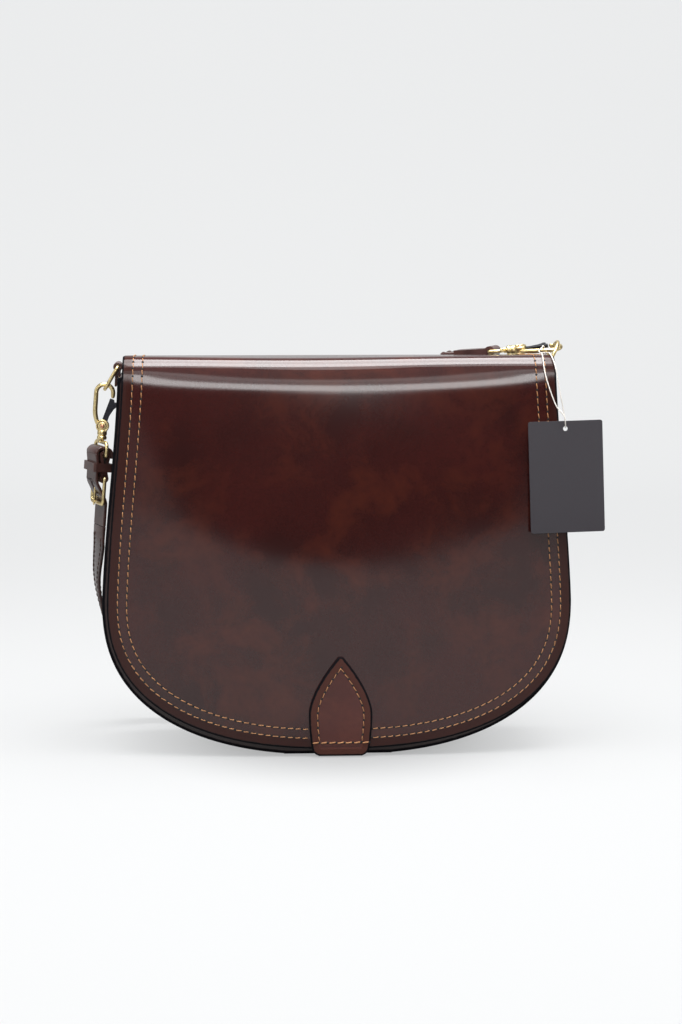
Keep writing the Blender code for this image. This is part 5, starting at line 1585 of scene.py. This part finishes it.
class Chain:
    """Where the rings, hooks and eyes are, as the frame's solids have them."""

    def __init__(self) -> None:
        """Work out the frames."""
        bar_drop, tab_length, step_out = 4.6 * MM, 13.6 * MM, 13.3 * MM
        high, low = BODY.half_width(BODY_TOP - MM), BODY.half_width(RING_BAR_HEIGHT - tab_length)
        lean = math.atan((low - high) / (BODY_TOP - MM - RING_BAR_HEIGHT + tab_length))
        bar_x = high - bar_drop * math.tan(lean) + 2 * CLEARANCE + 1.6 * MM
        ring_end = RING_BAR_HEIGHT - RING_REACH
        strap_end = ring_end + BARREL_LOW - HEEL_DROP - BUCKLE_LENGTH
        fall = (BODY.half_width(strap_end) - BODY.half_width(ring_end)) / (ring_end - strap_end)
        self.left_ring, self.right_ring = (
            Matrix.Translation((x, 27.0 * MM, RING_BAR_HEIGHT)) @ Matrix.Rotation(math.radians(turn), 4, "Y")
            for x, turn in ((-bar_x, 30.7), (bar_x, -152.0))
        )
        hang = Matrix.Rotation(math.atan(fall) - math.radians(0.6), 4, "Y")
        self.left_hook = Matrix.Translation(self.left_ring @ Vector((0.0, 0.0, -RING_REACH))) @ hang
        self.left_eye = self.left_hook @ Matrix.Rotation(math.pi / 2 + math.radians(22.0), 4, "Z")
        bow = math.asin((step_out - (RING_REACH - RING_HALF)) / RING_HALF)
        contact = self.right_ring @ Vector((0.0, RING_HALF * math.cos(bow), -step_out))
        turn, slope = math.radians(20.0), math.radians(4.0)
        crown = Vector((math.cos(turn) * math.cos(slope), -math.sin(turn) * math.cos(slope), math.sin(slope)))
        level = Vector((0.0, 0.0, 1.0)).cross(crown).normalized()
        flat = Matrix((level, crown.cross(level), crown)).transposed().to_4x4()
        self.right_eye = Matrix.Translation(contact) @ flat @ Matrix.Translation((0.0, 0.0, -CROWN_Z))
        self.right_hook = self.right_eye @ Matrix.Rotation(math.radians(15.0), 4, "Z")

    @staticmethod
    def edge(eye: Matrix) -> Matrix:
        """The frame in which a strip at an eye is drawn edge-on: X outward, Y along, Z across."""
        return eye @ Matrix.Rotation(math.pi / 2, 4, "Z") @ Matrix.Rotation(math.pi / 2, 4, "X")


@dataclass
class SnapHook:
    """One side's D-ring, swivel snap hook with its gate and pin, and swivel eye.

    Attributes:
        side: which side it is on.
        chain: where everything is.
        finishes: the bag's finishes.
    """

    side: Side
    chain: Chain
    finishes: Finishes
    boss_radius: float = 4.55 * MM
    boss_thickness: float = 5.4 * MM
    barrel_radius: float = 3.4 * MM
    slot_half: float = 1.25 * MM

    def frame_of(self, what: str) -> Matrix:
        """The frame of this side's ring, hook or eye."""
        return getattr(self.chain, f"{self.side.word}_{what}")

    def build_ring(self) -> None:
        """Make the D-ring."""
        half, corner, word = RING_HALF, 2.0 * MM, self.side.word
        spots = arc_points((half - corner, -corner), corner, math.pi / 2, 0.0, 8)
        spots += arc_points((0.0, half - RING_REACH), half, 0.0, -math.pi, 40)
        spots += arc_points((corner - half, -corner), corner, math.pi, math.pi / 2, 8)
        spots += [(y, 0.0) for y in np.linspace(corner - half, half - corner, 8)[1:-1]]
        place = self.frame_of("ring")
        shape = tube([place @ Vector((0.0, y, z)) for y, z in spots], RING_WIRE, 18, True)
        ring = add_mesh(f"{word}_ring_wire", shape, self.finishes.brass)
        hand_over(ring, f"{word}_ring", Slot.BRASS, f"{word}_d_ring")

    def bar_points(self) -> tuple[list[Vector], list[float]]:
        """The hook's bent bar, thickest at its shoulder.

        Returns:
            Its points and radii.
        """
        foot = Vector((-3.6 * MM, 0.0, BOSS_Z + 1.8 * MM))
        bend, control = Vector((-HOOK_BEND, 0.0, -14.0 * MM)), Vector((-HOOK_BEND, 0.0, -19.0 * MM))
        points = [foot * (1 - t) ** 2 + control * 2 * t * (1 - t) + bend * t**2 for t in (i / 14 for i in range(15))]
        points += [Vector((-HOOK_BEND, 0.0, z * MM)) for z in (-12.0, -10.0, -8.0, -6.0, -4.4)]
        points += [Vector((x, 0.0, z)) for x, z in arc_points((0.0, CROWN_Z), HOOK_BEND, math.pi, 0.0, 30)]
        points += [Vector((HOOK_BEND, 0.0, z * MM)) for z in (-3.6, -4.6, -5.4)]
        radii = [HOOK_WIRE * (0.92 + 0.08 * math.sin(math.pi * min(1.0, i / 22))) for i in range(len(points) - 3)]
        return points, radii + [HOOK_WIRE * share for share in (0.90, 0.84, 0.72)]

    def boss_shapes(self, place: Matrix) -> list[Shape]:
        """The boss: two cheeks with a turned ring on each, and the filler between them.

        Args:
            place: the hook's frame.

        Returns:
            The shapes.
        """
        r, cheek, top, groove = self.boss_radius, self.slot_half, self.boss_thickness / 2, 0.28 * MM
        rings = [(0.0, cheek), (r, cheek), (r, top), (r * 0.80, top + 0.02 * MM)]
        rings += [(r * 0.72, top - groove), (r * 0.60, top - groove), (r * 0.54, top), (0.0, top)]
        profile = rounded_turn(rings, 0.4 * MM)
        shapes = [turned(profile, place @ ACROSS_BOSS @ Matrix.Rotation(a, 4, "X"), 40) for a in (0.0, math.pi)]
        spots = arc_points((0.0, BOSS_Z), r - 0.15 * MM, math.radians(118.0), math.radians(300.0), 18)
        spots += [(-2.5 * MM, BOSS_Z - 2.5 * MM), (-2.5 * MM, BOSS_Z + 1.5 * MM)]
        filler, n = cheek + 0.05 * MM, len(spots)
        verts = [place @ Vector((x, y, z)) for y in (-filler, filler) for x, z in spots]
        shapes.append((verts, [*skin(2, n), tuple(reversed(range(n))), tuple(range(n, 2 * n))]))
        return shapes

    def build_hook(self) -> None:
        """Make the hook body: bar, boss and barrel."""
        place, word = self.frame_of("hook"), self.side.word
        points, radii = self.bar_points()
        r, low, high = self.barrel_radius, BARREL_LOW, BOSS_Z - 2.4 * MM
        barrel = [(0.0, low + 0.9 * MM), (1.9 * MM, low + 0.9 * MM), (2.1 * MM, low), (r * 0.92, low)]
        barrel += [(r * share, low + up * MM) for share, up in ((1, 0.9), (1, 2.0), (0.86, 2.5), (0.86, 3.0), (1, 3.4))]
        barrel += [(r * 0.97, BOSS_Z - 3.4 * MM), (r * 0.7, high), (0.0, high)]
        shapes = [tube([place @ p for p in points], radii, 20), *self.boss_shapes(place)]
        shapes.append(turned(rounded_turn(barrel, 0.35 * MM), place, 40))
        hook = add_mesh(f"{word}_hook", merge_shapes(shapes), self.finishes.brass, sharp=True)
        hand_over(hook, f"{word}_hook", Slot.BRASS, f"{word}_hook_body")

    def build_gate(self) -> None:
        """Make the gate and its copper pin."""
        word = self.side.word
        gate = refined_copy(f"{word}_hook_gate", f"{word}_gate", self.finishes.steel, 0.35 * MM)
        hand_over(gate, f"{word}_gate", Slot.STEEL, f"{word}_hook_gate")
        reach = self.boss_thickness / 2 - 0.1 * MM
        top = self.boss_thickness / 2 + CLEARANCE + 0.5 * MM
        dome = [(r * MM, top - down * MM) for r, down in ((0.0, 0.0), (0.6, 0.04), (1.15, 0.16), (1.5, 0.42))]
        dome += [(1.5 * MM, reach), (0.85 * MM, reach)]
        profile = dome + [(radius, -height) for radius, height in reversed(dome)]
        pin = add_mesh(f"{word}_pin", turned(profile, self.frame_of("hook") @ ACROSS_BOSS), self.finishes.copper)
        hand_over(pin, f"{word}_hook", Slot.COPPER, f"{word}_gate_pin")

    def build_eye(self) -> None:
        """Make the swivel eye: its wide loop and the post up into the barrel."""
        place, word, high = self.frame_of("eye"), self.side.word, BARREL_LOW + 0.8 * MM
        loop = frame_loop(FRAME_HALF, EYE_TOP, EYE_LOW, 4.0 * MM, 1.5 * MM)
        post = [(r * MM, EYE_TOP + up * MM) for r, up in ((0.0, -0.6), (2.1, -0.5), (1.9, 0.9), (1.3, 1.4))]
        post += [(1.3 * MM, high), (0.0, high)]
        shapes = [tube([place @ Vector((x, 0.0, z)) for x, z in loop], FRAME_WIRE, 18, True), turned(post, place, 24)]
        eye = add_mesh(f"{word}_eye", merge_shapes(shapes), self.finishes.brass, sharp=True)
        hand_over(eye, f"{word}_strap_end", Slot.BRASS, f"{word}_swivel_eye")

    def build(self) -> None:
        """Make every piece of this side."""
        self.build_ring()
        self.build_hook()
        self.build_gate()
        self.build_eye()
        tab = refined_copy(f"{self.side.word}_ring_tab", f"{self.side.word}_tab", self.finishes.strap, 0.5 * MM)
        hand_over(tab, "bag_body", Slot.STRAP, f"{self.side.word}_ring_tab")


def in_metres(spots: Sequence[Point]) -> list[Vector]:
    """Points that are given in millimetres."""
    return [Vector(spot) * MM for spot in spots]


def strip_mesh(route: Sequence[Vector], wides: Sequence[Vector], width: float = STRAP_WIDTH) -> Shape:
    """A flat strip of strap along a route, with rounded edges.

    Args:
        route: the middle line.
        wides: which way its width lies at each point.
        width: its width.

    Returns:
        Points and faces.
    """
    rounding, half, thin = 0.7 * MM, width / 2, STRAP_THICKNESS / 2
    section: list[Flat] = []
    for sign_w, sign_t, start in ((1, 1, 0.0), (-1, 1, 0.5), (-1, -1, 1.0), (1, -1, 1.5)):
        centre = (sign_w * (half - rounding), sign_t * (thin - rounding))
        section += arc_points(centre, rounding, start * math.pi, (start + 0.5) * math.pi, 3)
    verts, count, size = [], len(route), len(section)
    for i, place in enumerate(route):
        along = (route[min(count - 1, i + 1)] - route[max(0, i - 1)]).normalized()
        wide = (wides[i] - along * wides[i].dot(along)).normalized()
        thick = along.cross(wide).normalized()
        verts += [place + wide * w + thick * t for w, t in section]
    return verts, [*skin(count, size), tuple(reversed(range(size))), tuple(range(len(verts) - size, len(verts)))]


@dataclass
class CarryingStrap:
    """The carrying strap: its free runs behind the bag, its folds on the floor and its two ends."""

    chain: Chain
    finishes: Finishes
    sewing: Sewing
    stitches: StitchSize = StitchSize(4.2 * MM, 3.3 * MM, 0.36 * MM, 0.36 * MM, 0.5 * MM)
    row_inset: float = 3.0 * MM
    leaving: tuple[float, ...] = (0.04 * MM, 4.0 * MM, 8.0 * MM)

    def sweep(self, word: str, route: list[Vector], wides: list[Vector], low: float) -> None:
        """Make a free run of strap with its rows of stitches.

        Args:
            word: which side.
            route: its middle line, from the strap's end to the folds.
            wides: which way its width lies.
            low: the height below which it stays on the floor.
        """
        run = add_mesh(f"{word}_strap", strip_mesh(route, wides), self.finishes.strap, sharp=True)
        spots = []
        for i, place in enumerate(route[2:-2], 2):
            along = (route[i + 1] - route[i - 1]).normalized()
            wide = (wides[i] - along * wides[i].dot(along)).normalized()
            spots.append((place, wide, along.cross(wide).normalized()))
        rows, reach = [], STRAP_WIDTH / 2 - self.row_inset
        for face, edge in ((1.0, 1.0), (1.0, -1.0), (-1.0, 1.0), (-1.0, -1.0)):
            points = [place + up * face * STRAP_THICKNESS / 2 + wide * edge * reach for place, wide, up in spots]
            rows.append((np.array(points), np.array([up * face for _, _, up in spots])))
        top = route[2] - Vector((0.0, 0.0, 1.5 * MM))
        foot = max((place for place in route if place.z < low), key=lambda place: place.z)
        bend = ("bag_body", f"{word}_strap_end", (top.x, top.y, foot.z), tuple(top))
        hand_over(run, bend, Slot.STRAP, f"strap_{word}_run")
        sewn = self.sewing.sew(f"{word}_strap_stitches", rows, self.stitches, self.finishes.dark_thread)
        hand_over(sewn, bend, Slot.STRAP)

    def run(self, word: str, knots: list[Vector], frame_of_end: Matrix, low: float) -> None:
        """Make a free run, whose width turns on its way down to lie along Y.

        Args:
            word: which side.
            knots: where it passes.
            frame_of_end: the edge-on frame that it leaves.
            low: the height below which it stays on the floor.
        """
        start = frame_of_end.to_3x3() @ Vector((0.0, 0.0, 1.0))
        end = Vector((0.0, math.copysign(1.0, start.y), 0.0))
        turns = [start, start.lerp(end, 0.55), end, end, end]
        route = knotted_route(knots, 3.0 * MM)
        wides = []
        for i in range(len(route)):
            share = i / (len(route) - 1) * (len(turns) - 1)
            j = min(len(turns) - 2, int(share))
            wides.append(turns[j].lerp(turns[j + 1], share - j))
        self.sweep(word, route, wides, low)

    def build_runs(self) -> None:
        """Make the two free runs."""
        left, right = Chain.edge(self.chain.left_eye), Chain.edge(self.chain.right_eye)
        end, floor = HEEL_Z - 34.0 * MM, STRAP_THICKNESS / 2
        knots = [left @ Vector((-2.8 * MM, end - drop, 0.0)) for drop in self.leaving]
        knots += in_metres(((-166, 52, 100), (-152, 66, 48), (-134, 72, 17), (-118, 72, 6), (-105, 72, 2.2)))
        knots.append(Vector((-FOLDS_HALF - CLEARANCE, FOLDS_Y, floor)))
        self.run("left", knots, left, 12.0 * MM)
        end = EYE_LOW - 26.0 * MM
        knots = [right @ Vector((0.0, end - drop, 0.0)) for drop in self.leaving]
        knots += in_metres(
            ((66, 72, 246), (62, 74, 200), (78, 73, 120), (108, 72, 50), (112, 72, 16), (104, 72, 8.7))
        )
        knots.append(Vector((FOLDS_HALF + CLEARANCE, FOLDS_Y, floor + 2 * FOLDS_PITCH)))
        self.run("right", knots, right, 40.0 * MM)

    def build_folds(self) -> None:
        """Make the folded middle on the floor."""
        spots: list[Flat] = []
        for layer, side in enumerate((1.0, -1.0, 1.0)):
            height = STRAP_THICKNESS / 2 + layer * FOLDS_PITCH
            spots += [(side * x, height) for x in np.linspace(-FOLDS_HALF, FOLDS_HALF, 40)]
            if layer < 2:
                turn = arc_points((0.0, height + FOLDS_PITCH / 2), FOLDS_PITCH / 2, -math.pi / 2, math.pi / 2, 10)
                spots += [(side * (FOLDS_HALF + abs(x)), z) for x, z in turn[1:-1]]
        route = [Vector((x, FOLDS_Y, z)) for x, z in spots]
        shape = strip_mesh(route, [Vector((0.0, 1.0, 0.0))] * len(route))
        folds = add_mesh("folded_strap", shape, self.finishes.strap, sharp=True)
        hand_over(folds, "bag_body", Slot.STRAP, "strap_folds")

    def fold_over(self, tip: Piece) -> None:
        """Carry the left tip on as a fold over the swivel eye.

        Args:
            tip: the strap's left tip.
        """
        place = Chain.edge(self.chain.left_eye)
        spots = ((6.1, 1.1), (5.95, 2.8), (3.7, 4.9), (0.4, 5.25), (-3.5, 3.9), (-5.1, 0.8), (-5.2, -1.8))
        route = knotted_route([place @ Vector((x * MM, EYE_LOW + y * MM, 0.0)) for x, y in spots], 0.8 * MM)
        wide = place.to_3x3() @ Vector((0.0, 0.0, 1.0))
        shape = strip_mesh(route, [wide] * len(route), STRAP_WIDTH - 0.1 * MM)
        fold = add_mesh("left_strap_fold", shape, self.finishes.strap, sharp=True)
        both = bmesh.new()
        for part in (tip, fold):
            both.from_mesh(part.data)
        both.to_mesh(tip.data)
        both.free()
        bpy.data.objects.remove(fold)

    def build_ends(self) -> None:
        """Make the strap's two ends and the short piece with its keeper."""
        for node, name, body, width in (
            ("strap_right_end", "right_strap_fold", "right_strap_end", 0.6),
            ("strap_left_end", "left_strap_tip", "left_strap_end", 0.8),
            ("buckle_strap", "buckle_leather", "left_strap_end", 0.9),
            ("strap_keeper", "keeper", "left_strap_end", 0.8),
        ):
            piece = refined_copy(node, name, self.finishes.strap, width * MM)
            if node == "strap_left_end":
                self.fold_over(piece)
            hand_over(piece, body, Slot.STRAP, node)

    def build(self) -> None:
        """Make the whole strap."""
        self.build_runs()
        self.build_folds()
        self.build_ends()


@dataclass
class Buckle:
    """The buckle on the short strap piece: frame and prong."""

    chain: Chain
    finishes: Finishes
    prong_wire: float = 0.9 * MM
    bend_wire: float = 0.6 * MM

    def build(self) -> None:
        """Make the frame and the prong, whose thinner end is bent round the frame's heel."""
        place = Chain.edge(self.chain.left_eye)
        loop = frame_loop(FRAME_HALF, HEEL_Z, HEEL_Z - BUCKLE_LENGTH, 1.0 * MM, 3.0 * MM)
        shape = tube([place @ Vector((0.0, z, x)) for x, z in loop], FRAME_WIRE, 18, True)
        hand_over(add_mesh("buckle", shape, self.finishes.brass), "left_strap_end", Slot.BRASS, "buckle_frame")
        wire, ring = self.prong_wire, FRAME_WIRE + CLEARANCE + self.bend_wire
        bent = [Vector((x, z, 0.0)) for x, z in arc_points((0.0, 0.0), ring, math.radians(-60.0), -2 * math.pi, 40)]
        tip = Vector((FRAME_WIRE + CLEARANCE + wire + 0.2 * MM, -BUCKLE_LENGTH - 1.5 * MM, 0.0))
        straight = Vector((ring, -2.5 * MM, 0.0))
        bent += [straight.lerp(tip, i / 12) for i in range(13)]
        radii = [self.bend_wire] * (len(bent) - 12) + [0.75 * MM, 0.85 * MM] + [wire] * 6
        radii += [wire * share for share in (0.95, 0.86, 0.72, 0.55)]
        shape = tube([place @ (Vector((0.0, HEEL_Z, 0.0)) + p) for p in bent], radii)
        hand_over(add_mesh("prong_wire", shape, self.finishes.brass), "prong", Slot.BRASS, "buckle_prong")


@dataclass
class SwingTag:
    """The blank card tag and the string it hangs on, which goes round the right hook's shank."""

    chain: Chain
    finishes: Finishes
    radius: float = 0.4 * MM
    hole: Point = (0.152, -0.0536, 0.2216)

    def round_shank(self, angle: float, place: float) -> Vector:
        """A point of the string's loop round the hook's shank, at a place along that."""
        near, wide = HOOK_WIRE + self.radius + 0.5 * MM, HOOK_WIRE + self.radius + 1.3 * MM
        return self.chain.right_hook @ Vector((near * math.cos(angle) - HOOK_BEND, wide * math.sin(angle), place))

    def tag_route(self) -> list[Vector]:
        """The string's stretch from the flap's top down through the tag and up again.

        Returns:
            Its middle line.
        """
        down = ((138.8, -28, 271.0), (137.6, -44, 269.0), (138.8, -50.6, 257.0), (145.6, -54.2, 237.0))
        through = ((-1.2, -2.6, 8.5), (-0.2, -2.0, 2.9), (0.0, 0.0, 0.9), (0.2, 2.0, 2.9), (-0.4, 2.3, 8.5))
        up = ((148.6, -51.6, 245.0), (145.2, -48.8, 264.0), (143.4, -40.0, 270.6), (143.4, -26.0, 271.0))
        at_hole = [Vector(self.hole) + spot for spot in in_metres(through)]
        return knotted_route([*in_metres(down), *at_hole, *in_metres(up)], 1.2 * MM)

    def hook_route(self) -> list[Vector]:
        """The string's stretch from the flap's top round the hook's shank and back.

        Returns:
            Its middle line.
        """
        ahead = (
            (143.4, -26.0, 271.0), (144.4, -6.0, 269.7), (145.6, 6.0, 269.2),
            (146.2, 18.0, 268.6), (146.3, 26.5, 267.9),
        )
        back = ((144.6, 25.0, 270.2), (141.6, 0.0, 269.8), (138.8, -28.0, 271.0))
        first, over, last, count = -6.6 * MM, -8.0 * MM, -5.4 * MM, 10
        knots = in_metres(ahead) + [self.round_shank(math.radians(angle), last) for angle in (-140.0, -110.0)]
        for share in (i / count for i in range(1, count + 1)):
            knots.append(self.round_shank(math.radians(-85.0 + 205.0 * share), first + (over - first) * share))
        return knotted_route(knots + in_metres(back), 1.0 * MM)

    def add_string(self, name: str, route: list[Vector], moves: Bend, *nodes: str) -> None:
        """Make a stretch of string.

        Args:
            name: the piece's name.
            route: its middle line.
            moves: the bodies that it bends between, and where it leaves one and reaches the other.
            nodes: the nodes it replaces.
        """
        piece = add_mesh(name, tube(route, self.radius, 10), self.finishes.string)
        hand_over(piece, moves, Slot.STRING, *nodes)

    def build(self) -> None:
        """Make the tag and the four stretches of its string."""
        tag = refined_copy("swing_tag", "tag_card", self.finishes.card, 0.15 * MM)
        hand_over(tag, "tag", Slot.CARD, "swing_tag")
        front, back, split = self.tag_route(), self.hook_route(), 21.0 * MM
        self.add_string("tag_string_front", front, LIFT, "tag_string")
        behind = [i for i, place in enumerate(back) if place.y > split]
        leaves, returns = behind[0], behind[-1]
        swing = ("bag_body", "right_strap_end", (0.0, 0.0215, 0.268), (0.0, 0.0285, 0.268))
        self.add_string("tag_string_out", back[: leaves + 1], FOLD)
        self.add_string("tag_string_loop", back[leaves : returns + 2], swing)
        self.add_string("tag_string_return", back[returns + 1 :], FOLD)
        log.info("string: %.0f mm in four stretches", 1000 * (route_length(front) + route_length(back)))


# ------------------------------------------------------------------ studio


@dataclass
class Studio:
    """Camera, floor, backdrop and soft lights."""

    eye: Point = (-0.0825, -1.6577, 0.355)
    aim: Point = (0.002, -0.046, 0.1654)
    lens: float = 85.0

    def stand(self, data: bpy.types.ID, place: Point, aim: Point) -> bpy.types.Object:
        """Put a camera or a lamp in the room.

        Args:
            data: the camera or lamp.
            place: where it stands.
            aim: what it points at.

        Returns:
            Its object.
        """
        thing = bpy.data.objects.new(data.name, data)
        thing.location = place
        thing.rotation_euler = (Vector(aim) - Vector(place)).to_track_quat("-Z", "Y").to_euler()
        bpy.context.scene.collection.objects.link(thing)
        return thing

    def camera(self) -> None:
        """Set the camera at the photograph's angle."""
        data = bpy.data.cameras.new("camera")
        data.lens, data.sensor_width = self.lens, 36.0
        bpy.context.scene.camera = self.stand(data, self.eye, self.aim)

    def floor_finish(self) -> Material:
        """Pale paper that shows near white to the camera and keeps the lamps' shadow, with a painted shadow that dims
        its glow round the bag's footprint.

        Returns:
            The material.
        """
        material, tree, shader = start_material("studio_paper")
        ray = tree.add("ShaderNodeLightPath").outputs
        seen = tree.math("MAXIMUM", ray["Is Camera Ray"], ray["Is Transmission Ray"])
        shown, mirrored = tree.math("MULTIPLY", seen, 0.70), tree.math("MULTIPLY", ray["Is Glossy Ray"], 0.45)
        place = tree.place()
        scaled = tree.add("ShaderNodeMapping", {"Vector": place, "Scale": (6.5, 5.9, 0.0)}).outputs[0]
        away = tree.add("ShaderNodeVectorMath", {0: scaled}, operation="LENGTH").outputs["Value"]
        deep = tree.add("ShaderNodeSeparateXYZ", {"Vector": place}).outputs["Y"]
        # painted contact shadow: the glow falls to 0.6 in an ellipse round the bag's footprint, and it rises by up to
        # 1.12 towards the backdrop
        shade = tree.math("MULTIPLY", tree.ramp(away, 0.25, 1.0, 0.60, 1.0), tree.ramp(deep, 0.6, 1.8, 1.0, 1.12))
        glow = tree.math("MULTIPLY", tree.math("MAXIMUM", shown, mirrored), shade)
        tree.feed(shader, {
            "Base Color": (0.120, 0.121, 0.122), "Roughness": 0.9, "Specular IOR Level": 0.1,
            "Emission Color": (0.94, 0.95, 0.955), "Emission Strength": glow,
        })
        return material

    def floor(self) -> None:
        """Lay the floor, which curves up into the backdrop."""
        front, back, radius, height, half = -1.60, 1.50, 0.55, 2.8, 3.0
        spots = [(front, 0.0), (back, 0.0)]
        spots += arc_points((back, radius), radius, -math.pi / 2, 0.0, 16)[1:]
        spots.append((back + radius, height))
        verts = [(x, y, z) for y, z in spots for x in (-half, half)]
        faces = [(2 * i, 2 * i + 1, 2 * i + 3, 2 * i + 2) for i in range(len(spots) - 1)]
        floor = add_mesh("studio_floor", (verts, faces), self.floor_finish(), closed=False)
        floor.location.z = -0.05 * MM

    def light(self, name: str, place: Point, aim: Point, size: Flat, power: float) -> None:
        """Hang a soft light.

        Args:
            name: its name.
            place: where it hangs.
            aim: what it points at.
            size: its width and height.
            power: its power in watts.
        """
        data = bpy.data.lights.new(name, "AREA")
        data.shape, data.energy = "RECTANGLE", power
        data.size, data.size_y = size
        self.stand(data, place, aim)

    def world(self) -> None:
        """Fill the room with even pale light."""
        world = bpy.data.worlds.new("studio")
        bpy.context.scene.world = world
        world.use_nodes = True
        tree = Tree(world.node_tree)
        ray = tree.add("ShaderNodeLightPath").outputs
        lit = tree.math("MULTIPLY", tree.math("SUBTRACT", 1.0, ray["Is Glossy Ray"]), 0.20)
        seen = tree.math("MULTIPLY", ray["Is Camera Ray"], 0.76)
        strength = tree.math("ADD", tree.math("ADD", 0.015, lit), seen)
        tree.feed(world.node_tree.nodes["Background"], {"Color": (0.85, 0.86, 0.88), "Strength": strength})

    def build(self) -> None:
        """Set up the floor and the lights."""
        self.floor()
        self.world()
        over, front, low = (0.0, -0.03, 0.26), (0.0, -0.05, 0.25), (0.0, -0.05, 0.15)
        self.light("overhead", (0.05, -0.12, 1.50), over, (1.2, 1.24), 46.0)
        self.light("overhead_front", (0.05, -0.66, 1.40), over, (1.8, 0.8), 14.0)
        self.light("front_strip", (0.05, -1.95, 0.645), front, (1.5, 0.22), 6.4)
        self.light("front_glow", (0.05, -1.97, 0.79), front, (1.5, 0.60), 4.4)
        self.light("front_fill", (0.05, -1.65, 1.20), front, (1.6, 0.7), 1.6)
        self.light("front_left", (-1.05, -2.15, 0.35), low, (1.5, 1.0), 1.4)
        self.light("front_right", (1.30, -2.00, 0.35), low, (1.5, 1.0), 0.6)
        self.light("left", (-1.45, -0.35, 0.75), (0.0, 0.0, 0.15), (0.8, 1.1), 6.0)
        self.light("right", (1.45, -0.25, 0.65), (0.0, 0.0, 0.15), (0.8, 1.1), 4.0)
        bpy.context.scene.view_settings.view_transform = "Standard"


def main() -> None:
    """Build the whole dressed bag and its studio."""
    logging.basicConfig(level=logging.INFO, format="%(name)s: %(message)s")
    studio = Studio()
    studio.camera()
    finishes = Finishes(Effects())
    sewing = Sewing(finishes)
    chain = Chain()
    SwingTag(chain, finishes).build()
    LeatherBody(finishes, sewing).build()
    Snap(finishes).build()
    for side in Side:
        SnapHook(side, chain, finishes).build()
    Buckle(chain, finishes).build()
    CarryingStrap(chain, finishes, sewing).build()
    studio.build()


if __name__ == "__main__":
    main()
